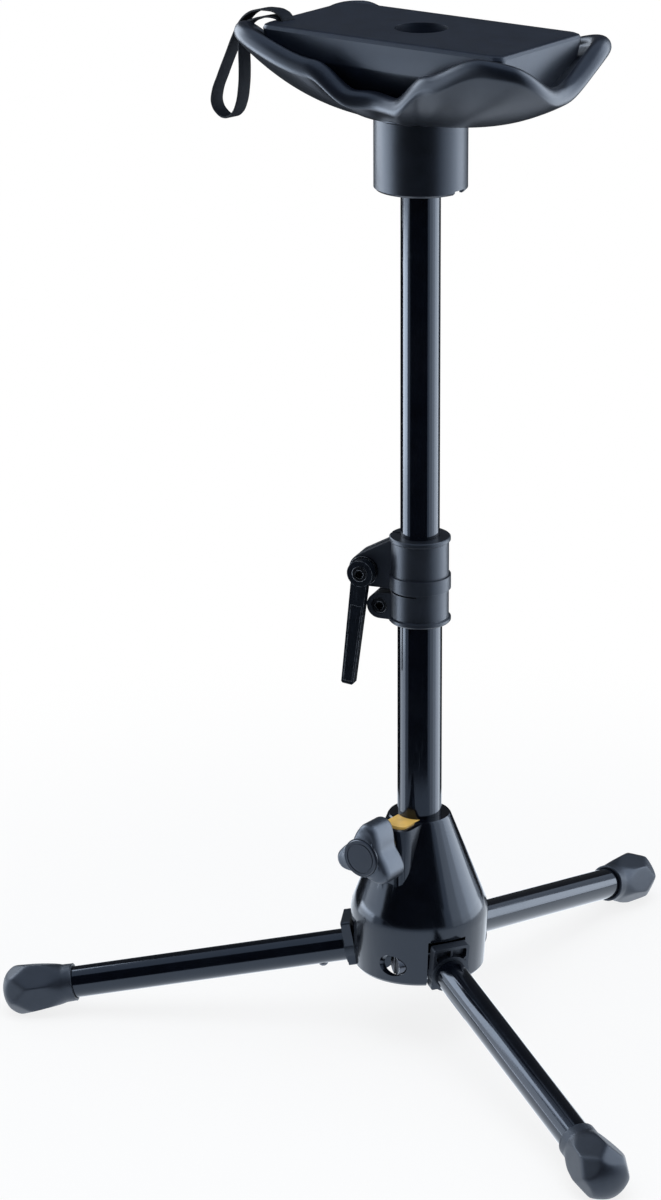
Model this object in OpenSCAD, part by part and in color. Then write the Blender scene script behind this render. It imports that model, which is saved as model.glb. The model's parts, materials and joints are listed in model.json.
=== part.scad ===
// Folding three-legged floor stand with a telescopic column and a shallow moulded cradle that
// carries the bottom bow of a large brass instrument.
// Frame: origin on the column axis at floor level, +Z up. The knob of the base points to -Y
// and the long side of the cradle lies along X.

/* [Column] */
// Outside diameter of the lower column tube
lower_tube_d = 28.6; // [27:0.2:30]
// Wall of both column tubes
tube_wall = 1.5; // [1.2:0.1:1.8]
// Length of the lower column tube
lower_tube_len = 272; // [250:1:310]
// Length of the upper column tube
upper_tube_len = 400; // [380:1:420]
// Length of upper tube that shows between the height clamp and the cradle
upper_tube_shown = 225; // [200:1:240]
// Height of the column's lower end above the floor
column_lift = 40; // [37:1:43]

/* [Legs] */
// Distance from the column axis to the centre of a foot's ball
leg_reach = 261; // [235:1:290]
// Slope of the legs below the horizontal
leg_slope = 11; // [9.5:0.5:12.5]
// Outside diameter of a leg tube
leg_tube_d = 21; // [19:0.5:21.5]
// Wall of a leg tube
leg_wall = 1.5; // [1:0.1:2]
// Diameter of the ball of a rubber foot
foot_d = 34.4; // [31:0.2:37]
// Distance from the column axis to a leg's pivot bolt
pivot_r = 28; // [27.8:0.1:28.6]
// Width of the plate that a leg shows against the hub
plate_w = 25; // [24:0.5:26]

/* [Hub] */
// Height of the conical hub
hub_h = 105; // [100:1:112]
// Radius of the hub at its shoulder
hub_r = 44.9; // [44:0.1:45.5]
// Radius of the hub at its top edge
hub_top_r = 20.7; // [20.2:0.1:21.5]
// Diameter of the star knob
knob_d = 45; // [40:1:50]
// Height of the knob screw below the top of the hub
knob_drop = 10.5; // [9:0.5:12]

/* [Height clamp] */
// Height of the clamp body
clamp_h = 57; // [55:1:62]
// Direction in which the split ears of the clamp point
clamp_az = 195; // [180:1:210]
// Length of the clamp lever from its bolt to its end
lever_len = 76; // [60:1:85]

/* [Cradle] */
// Length of the cradle over its corner lobes
dish_l = 227; // [218:1:234]
// Width of the cradle over its corner lobes
dish_w = 122; // [118:1:130]
// Depth of the cradle from its lobes to its underside
dish_depth = 57; // [55:1:62]
// Drop of the rim in the middle of a long side
long_dip = 31.5; // [28:0.5:33]
// Drop of the rim in the middle of a short side
short_dip = 22; // [18:1:24]
// Diameter of the socket under the cradle
socket_d = 58.4; // [54:0.2:62]
// Height of the socket
socket_h = 45; // [42:1:50]
// Distance from an end of the cradle to the end of the insert block
insert_end = 24.5; // [23:0.5:27]
// Distance from a long side of the cradle to the side of the insert block
insert_side = 15.5; // [14.5:0.5:18]
// Diameter of the hole through the insert block
insert_hole_d = 33; // [26:1:36]
// Width of the pull strap
strap_w = 10; // [8:0.5:11]

/* [Fits] */
// Gap of a running fit, per side
run_gap = 0.05; // [0.02:0.01:0.1]
// Gap between neighbours that move past each other
part_gap = 0.3; // [0.2:0.05:0.4]
// Gap between fixed neighbours
fixed_gap = 0.02; // [0.01:0.01:0.03]

/* [Hidden] */
$fn = 96;
far = 400;

// Column
lower_r = lower_tube_d / 2;
lower_bore_r = lower_r - tube_wall;
upper_r = lower_bore_r - part_gap;
upper_bore_r = upper_r - tube_wall;
lower_top_z = column_lift + lower_tube_len;
clamp_grip = 26;
clamp_z = lower_top_z - clamp_grip;
socket_z = clamp_z + clamp_h + upper_tube_shown;
tube_in_socket = 33;
upper_top_z = socket_z + tube_in_socket;
upper_foot_z = upper_top_z - upper_tube_len;

// Legs
LEFT = 210;
RIGHT = 330;
REAR = 90;
LEG_AZ = [LEFT, RIGHT, REAR];
leg_r = leg_tube_d / 2;
foot_r = foot_d / 2;
foot_flat = 0.5;
pivot_z = foot_r - foot_flat + (leg_reach - pivot_r) * tan(leg_slope);
leg_span = (leg_reach - pivot_r) / cos(leg_slope);
bolt_r = 3;
bolt_head_r = 6.6;
bolt_face = 30.4;
ear_r = 9;
ear_w = 16;
plate_x = 13.4;
plate_t = 6;
plate_up = 20;
plate_down = 10.7;
collar_x = plate_x + plate_t + 0.8;
leg_start_x = plate_x + 1.5;
spigot_end_x = 52;
leg_screw_x = 38;
foot_collar_len = 32;
foot_collar_r = leg_r + 2.2;

// Hub
hub_z = pivot_z - 13;
hub_top_z = hub_z + hub_h;
hub_wall = 3.4;
hub_skirt_h = 36;
hub_foot_r = hub_r - 2.3;
hub_cone_z = hub_skirt_h + 8;
hub_cone_r = hub_r - 1;
sleeve_r = lower_r + 3.5;
cheek_r = 12.7;
cheek_foot_r = 15.5;
cheek_out = ear_w / 2 + 7;
window_half = plate_w / 2 + 0.8;
window_r = norm([plate_x + plate_t, plate_up]) + 0.7;
window_top = plate_up * cos(leg_slope) - plate_x * sin(leg_slope) + 1.1;
boss_w = 25.6;
boss_y = 35;
boss_h = 46;
channel_w = 17.4;
shoe_w = 17;
shoe_out = 29.4;
shoe_corner = 4;
boss_corner = 8;
shoe_h = 22.6;
channel_out = shoe_out + 2.2;
knob_z = hub_top_z - knob_drop;
screw_r = 4;
knob_back = 42;
knob_front = 65;
knob_neck = 38.6;

// Height clamp, in its own frame: +x along the ears, +y toward the lever
clamp_r = 18.5;
clamp_rim_r = 19.8;
clamp_bore_r = lower_r + fixed_gap;
split = 3;
ear_out = 9.5;
lever_at = [34.2, 32.6];
lever_ear_r = 10.5;
fixing_at = [24.2, 9.7];
fixing_ear_r = 8.4;
nut_af = 10;
washer_r = 9.6;
washer_y = ear_out + 0.1;
washer_t = 2.1;
lever_y = washer_y + washer_t;
lever_t = 6.6;
lever_head_r = 8.6;
lever_tilt = 6.7;

// Cradle, with heights measured down from the top of the lobes
cradle_z = socket_z + socket_h;
dish_seat = dish_depth - 2.5;
dish_top_z = cradle_z + dish_seat;
dish_floor = dish_depth - 9;
socket_r = socket_d / 2;
socket_roof = socket_h - tube_in_socket - 2;
rim_bead = 4.5;
rim_power = 5.6;
around = 72;
screw_head_r = 6.5;
screw_flat_r = screw_head_r + 5;
under_power = 2.5;
inside_power = 2.6;
inside_steps = [0.88, 0.74, 0.58, 0.4, 0.2];

// Insert and strap, with x and z measured in the strap's own plane
insert_gap = 0.5;
// How far the block's end and side lie inside its outline, and at what height
insert_steps = [[2.3, 2.3, 0], [0.7, 0.7, -0.9], [0, 0, -2.8], [2.5, 2, -19], [7, 26, -dish_depth]];
insert_l = dish_l - 2 * insert_end;
insert_w = dish_w - 2 * insert_side;
strap_t = 1.2;
strap_y = 33 - dish_w / 2;
strap_turn = 8.7;
slot_x = insert_l / 2 - 7;
slot_to_rim = dish_l / 2 - slot_x;
slot_w = 6.4;
slot_depth = 11.5;
anchor_r = 1.45;
anchor_z = -7.6;

// Fillet of a given radius inside the corner between two levels of a profile
function arc_pts(c, r, a0, a1, n) =
  [for (i = [0 : n]) c + r * [cos(a0 + (a1 - a0) * i / n), sin(a0 + (a1 - a0) * i / n)]];
// Point where a line from p touches the circle at c, on the side s of that line
function touch_pt(p, c, r, s) =
  let (d = norm(p - c), a = atan2(p[1] - c[1], p[0] - c[0]) + s * acos(r / d))
  c + r * [cos(a), sin(a)];
function ramp(a, b, x) = let (t = min(1, max(0, (x - a) / (b - a)))) t * t * (3 - 2 * t);

module ring(r_out, r_in, h) {
  difference() {
    cylinder(r = r_out, h = h);
    translate([0, 0, -1]) cylinder(r = r_in, h = h + 2);
  }
}
// Rounded rectangle from plain squares and circles, so that its corners stay round
module rounded_rect(w, h, r) {
  square([w - 2 * r, h], center = true);
  square([w, h - 2 * r], center = true);
  for (x = [-1, 1], y = [-1, 1]) translate([x * (w / 2 - r), y * (h / 2 - r)]) circle(r);
}
// Cylinder along +x or +y from the origin
module rod_x(r, h) rotate([0, 90, 0]) cylinder(r = r, h = h);
module rod_y(r, h) rotate([-90, 0, 0]) cylinder(r = r, h = h);
// Plate cut from an outline in the x-z plane, from y0 to y1
module slab_y(y0, y1) translate([0, y1, 0]) rotate([90, 0, 0]) linear_extrude(y1 - y0) children();
module hex_y(af, y0, y1) slab_y(y0, y1) circle(r = af / sqrt(3), $fn = 6);

// Pivot of a leg, level; and the same pivot with +x running down along the leg
module pivot_frame(az) rotate([0, 0, az]) translate([pivot_r, 0, pivot_z]) children();
module leg_frame(az) pivot_frame(az) rotate([0, leg_slope, 0]) children();

// Hub: outer skin of the cone and skirt, with its two rounded edges
module hub_skin(grow = 0) {
  translate([0, 0, hub_z]) rotate_extrude() polygon(concat(
    [[0, 0], [hub_foot_r - 1.2 + grow, 0]],
    [[hub_foot_r + grow, 1.6], [hub_r + grow, hub_skirt_h]],
    [[hub_r - 0.15 + grow, hub_skirt_h + 4], [hub_cone_r + grow, hub_cone_z]],
    [[hub_top_r + grow, hub_h - 1.4], [hub_top_r - 1 + grow, hub_h], [0, hub_h]]));
}
module hub_cavity() {
  slope = (hub_cone_r - hub_top_r) / (hub_h - hub_cone_z);
  inner_r = hub_r - hub_wall;
  top_z = hub_cone_z + (inner_r - sleeve_r - 0.4) / slope - 4;
  translate([0, 0, hub_z]) rotate_extrude() polygon([[sleeve_r, -1], [hub_foot_r - hub_wall, -1],
    [inner_r, hub_skirt_h], [inner_r - 0.8, hub_cone_z - 3], [sleeve_r, top_z]]);
}
// Two round ears on each leg's pivot bolt, each on a web that joins the sleeve to the skirt
module hub_cheeks(az) {
  for (y0 = [ear_w / 2 - 0.4, -cheek_out]) {
    t = cheek_out - ear_w / 2 + 0.4;
    pivot_frame(az) translate([0, y0, 0]) rod_y(cheek_r, t);
    intersection() {
      cylinder(r = hub_foot_r - 1.6, h = hub_z + hub_skirt_h / 2);
      pivot_frame(az) translate([0, y0 < 0 ? -cheek_out : window_half + 0.2, 0])
        rod_y(cheek_foot_r, cheek_out - window_half - 0.2);
    }
    intersection() {
      hub_skin(-1.3);
      pivot_frame(az) translate([8 - pivot_r, y0 + 0.6, 2]) cube([pivot_r + 6, t - 1.2, 34]);
    }
  }
}
module leg_slot(az) {
  half = ear_w / 2 + part_gap;
  intersection() {
    leg_frame(az) translate([-far / 2, -half, -far / 2])
      cube([far, 2 * half, far / 2 + ear_r + 0.4]);
    pivot_frame(az) translate([-ear_r - 0.7, -half - 1, -far / 2]) cube([far / 2, 2 * half + 2, far]);
  }
  // Window in the skirt for the plate of the leg bracket
  intersection() {
    pivot_frame(az) translate([0, -window_half, 0]) difference() {
      rod_y(window_r, 2 * window_half);
      translate([0, -1, 0]) rod_y(cheek_r + 0.35, 2 * window_half + 2);
    }
    pivot_frame(az) translate([0, -far / 2, -far]) cube([far, far, far + window_top]);
  }
}
module hub_body() {
  color("#101216") difference() {
    union() {
      difference() {
        hub_skin();
        hub_cavity();
      }
      for (az = LEG_AZ) hub_cheeks(az);
      translate([0, -boss_y / 2, hub_top_z - boss_h]) linear_extrude(boss_h - 1)
        rounded_rect(boss_w, boss_y, boss_corner);
    }
    translate([0, 0, -1]) cylinder(r = lower_r + run_gap, h = far);
    for (az = LEG_AZ) {
      leg_slot(az);
      pivot_frame(az) translate([0, -cheek_out - 1, 0])
        rod_y(bolt_r + fixed_gap, 2 * cheek_out + 2);
      pivot_frame(az) translate([0, -far / 4 - cheek_out, 0]) rod_y(bolt_head_r + 0.6, far / 4);
    }
    translate([0, -channel_out / 2, hub_top_z - 24]) linear_extrude(30)
      rounded_rect(channel_w, channel_out, shoe_corner);
    translate([0, -boss_y - 1, knob_z]) rod_y(6 + fixed_gap, boss_y - channel_out + 2);
  }
}
module knob_nut() {
  color("goldenrod") translate([0, -boss_y, knob_z]) difference() {
    rod_y(6, boss_y - channel_out);
    translate([0, -1, 0]) rod_y(screw_r + run_gap, boss_y);
  }
}
module leg_pivot_bolts() {
  color("#33363b") for (az = LEG_AZ) pivot_frame(az) difference() {
    translate([0, -bolt_face, 0]) union() {
      rod_y(bolt_r, bolt_face + cheek_out + 6);
      rod_y(bolt_head_r, bolt_face - cheek_out - fixed_gap);
    }
    translate([-0.9, -bolt_face - 1, -bolt_head_r - 1]) cube([1.8, 3.2, 2 * bolt_head_r + 2]);
  }
}
module leg_pivot_nuts() {
  color("#8a8d92") for (az = LEG_AZ) pivot_frame(az) difference() {
    hex_y(nut_af, cheek_out + fixed_gap, cheek_out + 5);
    rod_y(bolt_r + fixed_gap, 2 * cheek_out);
  }
}

// Leg bracket: an ear on the pivot bolt, a ribbed plate, a collar and a spigot for the tube
module plate_outline(inset = 0) {
  translate([0, (plate_up - plate_down) / 2])
    rounded_rect(plate_w - 2 * inset, plate_up + plate_down - 2 * inset, 1.6);
}
module plate_slab(x0, x1) translate([x0, 0, 0]) rotate([90, 0, 90]) linear_extrude(x1 - x0) children();
module leg_bracket(az) {
  rib_t = 1.5;
  collar_r = leg_r + 2.6;
  spigot_r = leg_r - leg_wall - fixed_gap;
  color("#17191d") leg_frame(az) difference() {
    union() {
      translate([0, -ear_w / 2, 0]) rod_y(ear_r, ear_w);
      translate([0, -ear_w / 2, -ear_r]) cube([plate_x + 1, ear_w, 2 * ear_r]);
      difference() {
        plate_slab(plate_x, plate_x + plate_t) plate_outline();
        plate_slab(plate_x + 2.4, plate_x + plate_t + 1) difference() {
          plate_outline(2);
          circle(collar_r - 0.5);
          for (a = [0, 45, 90, 135]) rotate(a) square([60, rib_t], center = true);
        }
      }
      translate([plate_x + 0.5, 0, 0]) rod_x(collar_r, collar_x - plate_x - 0.5);
    }
    translate([0, -ear_w, 0]) rod_y(bolt_r + run_gap, 2 * ear_w);
    translate([leg_start_x, 0, 0]) rod_x(leg_r + fixed_gap, far);
  }
  color("#17191d") leg_frame(az) difference() {
    translate([leg_start_x - 0.4, 0, 0]) rod_x(spigot_r, spigot_end_x - leg_start_x);
    translate([leg_screw_x, 0, -leg_r - 2]) cylinder(r = 1.4, h = leg_r + 1);
  }
}
module leg_tube(az) {
  color("#0b0c0f") leg_frame(az) difference() {
    translate([leg_start_x + fixed_gap, 0, 0]) rod_x(leg_r, leg_span - 3 - leg_start_x);
    rod_x(leg_r - leg_wall, far);
    translate([leg_screw_x, 0, -leg_r - 1]) cylinder(r = 1.6, h = leg_wall + 2);
  }
}
module leg_screw(az) {
  color("#3a3d42") leg_frame(az) translate([leg_screw_x, 0, -leg_r]) difference() {
    union() {
      translate([0, 0, -1.9]) cylinder(r1 = 2.2, r2 = 3, h = 0.9);
      translate([0, 0, -1.02]) cylinder(r = 3, h = 0.99);
      translate([0, 0, -1]) cylinder(r = 1.38, h = 9);
    }
    translate([-2, -0.4, -2.4]) cube([4, 0.8, 1.4]);
    translate([-0.4, -2, -2.4]) cube([0.8, 4, 1.4]);
  }
}
// Rubber foot: a round collar that opens into a ball cut like a gem, with offset rows of facets
module foot_ring(x, r, turn) {
  translate([x, 0, 0]) rotate([turn, 0, 0]) rotate([0, 90, 0]) cylinder(r = r, h = 0.5, $fn = 8);
}
module rubber_foot(az) {
  cone_x = leg_span - foot_collar_len;
  color("#1b1c1f") difference() {
    leg_frame(az) difference() {
      union() {
        translate([cone_x, 0, 0]) rod_x(foot_collar_r, foot_collar_len / 2);
        hull() {
          translate([cone_x + 5, 0, 0]) rod_x(foot_collar_r - 0.4, 0.5);
          foot_ring(leg_span - 5.5, foot_r * 1.07, 0);
          foot_ring(leg_span + 6, foot_r * 1.01, 22.5);
          foot_ring(leg_span + foot_r - 3.4, foot_r * 0.62, 0);
          foot_ring(leg_span + foot_r - 1.2, foot_r * 0.34, 22.5);
        }
      }
      rod_x(leg_r + fixed_gap, leg_span - 2.9);
    }
    // The ball is worn flat where it meets the floor
    translate([-far, -far, -far]) cube([2 * far, 2 * far, far]);
  }
}

// Pressure shoe, screw and knob of the base
module clamp_shoe() {
  color("#ecb04e") translate([0, 0, hub_top_z - shoe_h]) difference() {
    translate([0, -shoe_out / 2, 0]) linear_extrude(shoe_h) rounded_rect(shoe_w, shoe_out, shoe_corner);
    translate([0, 0, -1]) cylinder(r = lower_r + run_gap, h = shoe_h + 2);
    translate([0, -shoe_out - 1, knob_z - hub_top_z + shoe_h]) rod_y(screw_r + fixed_gap, 5);
  }
}
module knob_screw() {
  color("#6d7075") translate([0, -knob_front + 8, knob_z]) rod_y(screw_r, knob_front - 8 - shoe_out + 3.9);
}
// Three broad lobes with long flats between them, each flat hollowed a little
module knob_outline(lobe_r) {
  reach = knob_d / 2 - lobe_r;
  difference() {
    hull() for (i = [0 : 2]) rotate(i * 120 + 45) translate([reach, 0]) circle(lobe_r);
    for (i = [0 : 2]) rotate(i * 120 + 105) translate([reach / 2 + lobe_r + 27.2, 0]) circle(28);
  }
}
module star_knob() {
  depth = knob_front - knob_back;
  color("#26282c") translate([0, -knob_front, knob_z]) rotate([-90, 0, 0]) difference() {
    union() {
      intersection() {
        linear_extrude(depth) knob_outline(7.4);
        rotate_extrude() polygon([[0, 0], [knob_d / 2 - 6, 0], [knob_d / 2 - 2.2, 2.5],
          [knob_d / 2, 7], [knob_d / 2, depth - 3], [knob_d / 2 - 4, depth], [0, depth]]);
      }
      cylinder(r = 9, h = knob_front - knob_neck);
    }
    translate([0, 0, 8 - fixed_gap]) cylinder(r = screw_r + fixed_gap, h = far);
    translate([0, 0, -1]) cylinder(r = 12.4, h = 2.6);
  }
}
module knob_cap() {
  color("#202226") translate([0, -knob_front - 0.9, knob_z]) rotate([-90, 0, 0]) difference() {
    union() {
      cylinder(r1 = 11.7, r2 = 12.3, h = 0.8);
      translate([0, 0, 0.79]) cylinder(r = 12.3, h = 1.68);
    }
    translate([0, 0, -1]) ring(10.2, 9.4, 1.4);
  }
}

// Column tubes and their plugs
module lower_tube() {
  color("#0b0c0f") translate([0, 0, column_lift]) ring(lower_r, lower_bore_r, lower_tube_len);
}
module lower_tube_plug() {
  color("#17191d") translate([0, 0, column_lift]) difference() {
    union() {
      translate([0, 0, -2]) cylinder(r = lower_r - 0.2, h = 2 - fixed_gap);
      translate([0, 0, -0.1]) cylinder(r = lower_bore_r - fixed_gap, h = 9);
    }
    cylinder(r = lower_bore_r - 2.4, h = 20);
    translate([0, 0, -3]) cylinder(r = 3, h = 20);
  }
}
module clamp_frame() translate([0, 0, clamp_z]) rotate([0, 0, clamp_az]) children();
module ear_outline(at, r, low, high) {
  translate(at) circle(r);
  top = touch_pt(high, at, r, -1);
  base = touch_pt(low, at, r, 1);
  polygon([[10, low[1]], low, base, at, top, high, [10, high[1]]]);
}
module height_clamp() {
  half = split / 2;
  color("#1d1f24") clamp_frame() difference() {
    union() {
      rotate_extrude() polygon([[0, 0], [clamp_rim_r - 0.8, 0], [clamp_rim_r + 0.1, 1],
        [clamp_rim_r + 0.1, 2.8], [clamp_r, 3.6], [clamp_r, 22], [clamp_rim_r, 22.4],
        [clamp_rim_r, 31.4], [clamp_r, 31.8], [clamp_r, clamp_h - 3.4],
        [clamp_rim_r - 0.2, clamp_h - 2.6], [clamp_rim_r - 0.2, clamp_h - 0.6],
        [clamp_rim_r - 0.8, clamp_h], [0, clamp_h]]);
      slab_y(-ear_out, ear_out) ear_outline(lever_at, lever_ear_r, [17, 22.2], [17, clamp_h - 3]);
      slab_y(-ear_out, ear_out) ear_outline(fixing_at, fixing_ear_r, [14, 1.2], [14, 19]);
    }
    translate([0, 0, -1]) cylinder(r = clamp_bore_r, h = clamp_h + 2);
    translate([5, -half, -1]) cube([60, split, clamp_h + 2]);
    // Narrow slit that lets the two halves of the clamp close one after the other
    translate([-4, -30, 20.4]) cube([60, 60, 0.9]);
    translate([lever_at[0], -30, lever_at[1]]) rod_y(bolt_r + run_gap, 60);
    translate([fixing_at[0], -30, fixing_at[1]]) rod_y(bolt_r + fixed_gap, 60);
    translate([fixing_at[0], ear_out - 5, fixing_at[1]]) rod_y(5.4, 10);
    translate([lever_at[0], 0, lever_at[1]]) hex_y(nut_af + 0.2, -ear_out - 1, -ear_out + 4);
    translate([fixing_at[0], 0, fixing_at[1]]) hex_y(nut_af + 0.2, -ear_out - 1, -ear_out + 4);
  }
}
module clamp_liner() {
  height = clamp_h - clamp_grip - 0.2;
  color("#2a2c31") clamp_frame() translate([0, 0, clamp_grip + 0.1]) difference() {
    ring(lower_r, upper_r + run_gap, height);
    translate([5, -1, -1]) cube([30, 2, height + 2]);
  }
}
module nut_at(at) {
  translate([at[0], 0, at[1]]) difference() {
    hex_y(nut_af, -ear_out - 0.8, -ear_out + 4 - fixed_gap);
    translate([0, -20, 0]) rod_y(bolt_r + run_gap, 40);
  }
}
module lever_nut() color("#8a8d92") clamp_frame() nut_at(lever_at);
module fixing_nut() color("#8a8d92") clamp_frame() nut_at(fixing_at);
// Socket-head screw along y, with its head's face at y_face
module socket_screw(y_face, y_end, head_r, head_h) {
  difference() {
    union() {
      translate([0, y_face - head_h, 0]) rod_y(head_r, head_h);
      translate([0, y_end, 0]) rod_y(bolt_r, y_face - head_h - y_end + 0.1);
    }
    hex_y(5, y_face - 3, y_face + 1);
  }
}
module fixing_bolt() {
  color("#2b2d31") clamp_frame() translate([fixing_at[0], 0, fixing_at[1]])
    socket_screw(ear_out - 0.3, -ear_out - 2, 5, 4.66);
}
module lever_frame() clamp_frame() translate([lever_at[0], 0, lever_at[1]]) children();
module lever_bolt() {
  color("#55585d") lever_frame() socket_screw(lever_y + lever_t + 1, -ear_out - 4, 5, 5);
}
module lever_washer() {
  color("#33363b") lever_frame() difference() {
    translate([0, washer_y, 0]) rod_y(washer_r, washer_t - fixed_gap);
    rod_y(bolt_r + fixed_gap, 40);
  }
}
module clamp_lever() {
  tip_w = 8.4;
  root_w = 11;
  panel_top = -22;
  tip_z = -lever_len + tip_w / 2 - 2;
  color("#0d0e11") lever_frame() rotate([0, -lever_tilt, 0]) difference() {
    union() {
      translate([0, lever_y, 0]) rod_y(lever_head_r, lever_t);
      slab_y(lever_y + 0.4, lever_y + lever_t - 0.2) union() {
        polygon([[-root_w / 2, 0], [root_w / 2, 0], [tip_w / 2, -lever_len + 1],
          [tip_w / 2 - 1, -lever_len], [-tip_w / 2 + 1, -lever_len], [-tip_w / 2, -lever_len + 1]]);
      }
    }
    translate([0, lever_y + lever_t - 4, 0]) rod_y(5 + fixed_gap, 10);
    rod_y(bolt_r + fixed_gap, 40);
    slab_y(lever_y + lever_t - 1, lever_y + lever_t + 1)
      polygon([[-3.7, panel_top], [3.7, panel_top], [2.9, tip_z], [-2.9, tip_z]]);
  }
}

module upper_tube() {
  color("#0b0c0f") translate([0, 0, upper_foot_z]) ring(upper_r, upper_bore_r, upper_tube_len);
}
module upper_tube_glide() {
  color("#e8e4d8") translate([0, 0, upper_foot_z]) difference() {
    union() {
      translate([0, 0, -12]) cylinder(r = lower_bore_r - run_gap, h = 12 - fixed_gap);
      translate([0, 0, -0.1]) cylinder(r = upper_bore_r - fixed_gap, h = 10);
    }
    translate([0, 0, -13]) cylinder(r = upper_bore_r - 3, h = 40);
  }
}
module upper_tube_top_plug() {
  plug_h = 24;
  color("#8a8d92") translate([0, 0, upper_top_z - plug_h]) difference() {
    cylinder(r = upper_bore_r - fixed_gap, h = plug_h - fixed_gap);
    translate([0, 0, 4]) cylinder(r = bolt_r + fixed_gap, h = plug_h);
  }
}
// Screw that holds the cradle down on the upper tube and lets it turn
screw_seat_z = dish_top_z - dish_floor;
washer_h = 1.6;
module cradle_screw() {
  reach = screw_seat_z + washer_h - (upper_top_z - 18);
  color("#9a9da2") translate([0, 0, upper_top_z - 18]) difference() {
    union() {
      cylinder(r = bolt_r, h = reach + 1);
      translate([0, 0, reach + fixed_gap]) cylinder(r = screw_head_r, h = 5);
    }
    translate([0, 0, reach + 2.4]) cylinder(r = 5 / sqrt(3), h = 5, $fn = 6);
  }
}
module cradle_washer() {
  color("#8a8d92") translate([0, 0, screw_seat_z + run_gap])
    ring(screw_head_r + 3, bolt_r + fixed_gap, washer_h - run_gap - fixed_gap);
}

module cradle_socket() {
  wall = 3.2;
  sleeve = upper_r + 3.6;
  roof_z = socket_h - socket_roof;
  color("#15171b") translate([0, 0, socket_z]) difference() {
    rotate_extrude() polygon([[0, 0], [socket_r - 1.4, 0], [socket_r, 1.4],
      [socket_r, socket_h - fixed_gap], [0, socket_h - fixed_gap]]);
    difference() {
      translate([0, 0, -1]) ring(socket_r - wall, sleeve, roof_z + 1);
      for (i = [0 : 5]) rotate([0, 0, i * 60 + 30]) translate([0, -1, 4]) cube([socket_r, 2, far]);
    }
    translate([0, 0, -1]) cylinder(r = upper_r + run_gap, h = tube_in_socket + 1.4);
    cylinder(r = bolt_r + 0.5, h = far);
    // Drain notch in the lower edge
    translate([socket_r - wall - 2, -4.6, -1]) cube([10, 9.2, 3.4]);
  }
}

// Plan radius and height of the cradle's rim in the direction a
function rim_plan(a) =
  let (c = abs(cos(a)) / (dish_l / 2), s = abs(sin(a)) / (dish_w / 2),
    waist_long = 0.17 * pow(abs(sin(a)), 10), waist_short = 0.025 * pow(abs(cos(a)), 14))
  pow(pow(c, rim_power) + pow(s, rim_power), -1 / rim_power) * (1 - waist_long - waist_short);
function rim_height(a) =
  let (r = rim_plan(a), x = abs(r * cos(a)) * 227 / dish_l, y = abs(r * sin(a)) * 122 / dish_w)
  -long_dip * (1 - 0.52 * ramp(16, 46, x) - 0.48 * ramp(42, 110, x))
  - short_dip * (1 - ramp(6, 48, y));
// Direction of the i-th point, closer together near the ends of the long sides
function rim_dir(i) = atan2(dish_w * sin(i * 360 / around), dish_l * cos(i * 360 / around));
function on_ray(a, rho, z) = [rho * cos(a), rho * sin(a), z];
// Bead of the rim: a point at angle b round the bead's centre, with the bead grown by g
function bead_pt(a, b, g) =
  on_ray(a, rim_plan(a) - rim_bead + (rim_bead + g) * cos(b),
    rim_height(a) - rim_bead + (rim_bead + g) * sin(b));
// Ring of a bowl that rises from 'depth' at its centre to the bead: t runs from the flat of
// radius 'flat_r' (0) to the bead (1)
function bowl_ring(b, g, depth, flat_r, t, power) =
  [for (i = [0 : around - 1]) let (a = rim_dir(i), p = bead_pt(a, b, g), edge = norm([p[0], p[1]]),
    rho = flat_r + (edge - flat_r) * t)
    on_ray(a, rho, -depth + (p[2] + depth) * pow(rho / edge, power))];
function bead_ring(b, g) = [for (i = [0 : around - 1]) bead_pt(rim_dir(i), b, g)];
function round_ring(r, z) = [for (i = [0 : around - 1]) on_ray(rim_dir(i), r, z)];
// Ring a step outside the rim, level with the top of its bead; and the same ring at height z
function ledge_ring(out, g) = [for (i = [0 : around - 1]) let (a = rim_dir(i))
  on_ray(a, rim_plan(a) + out, rim_height(a) + g)];
function lid_ring(out, z) = [for (i = [0 : around - 1]) let (a = rim_dir(i))
  on_ray(a, rim_plan(a) + out, z)];
// Closed skin over rings of points, each ring 'around' long, with a centre point at both ends
module ring_skin(rings, first, last) {
  n = len(rings);
  pts = concat([for (ring = rings) each ring], [first, last]);
  polyhedron(points = pts, faces = concat(
    [for (i = [0 : around - 1]) [n * around, (i + 1) % around, i]],
    [for (k = [0 : n - 2], i = [0 : around - 1]) let (j = (i + 1) % around)
      each [[k * around + i, k * around + j, (k + 1) * around + j],
        [k * around + i, (k + 1) * around + j, (k + 1) * around + i]]],
    [for (i = [0 : around - 1])
      [n * around + 1, (n - 1) * around + i, (n - 1) * around + (i + 1) % around]]));
}
module cradle_dish() {
  rings = concat(
    [round_ring(socket_r, -dish_seat)],
    [for (t = [0, 0.22, 0.44, 0.66, 0.85]) bowl_ring(-45, 0, dish_depth, socket_r, t, under_power)],
    [for (b = [-45, -10, 25, 60, 95, 135, 180]) bead_ring(b, 0)],
    [for (t = inside_steps) bowl_ring(180, 0, dish_floor, screw_flat_r, t, inside_power)],
    [round_ring(screw_flat_r, -dish_floor)]);
  color("#1a1c21") translate([0, 0, dish_top_z]) difference() {
    ring_skin(rings, [0, 0, -dish_seat], [0, 0, -dish_floor]);
    translate([0, 0, -dish_seat - 1]) cylinder(r = bolt_r + 0.5, h = 40);
  }
}

// The strap's own plane, which swings a little away from the block's end
module strap_frame() translate([-slot_x, strap_y, 0]) rotate([0, 0, -strap_turn]) children();

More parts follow.
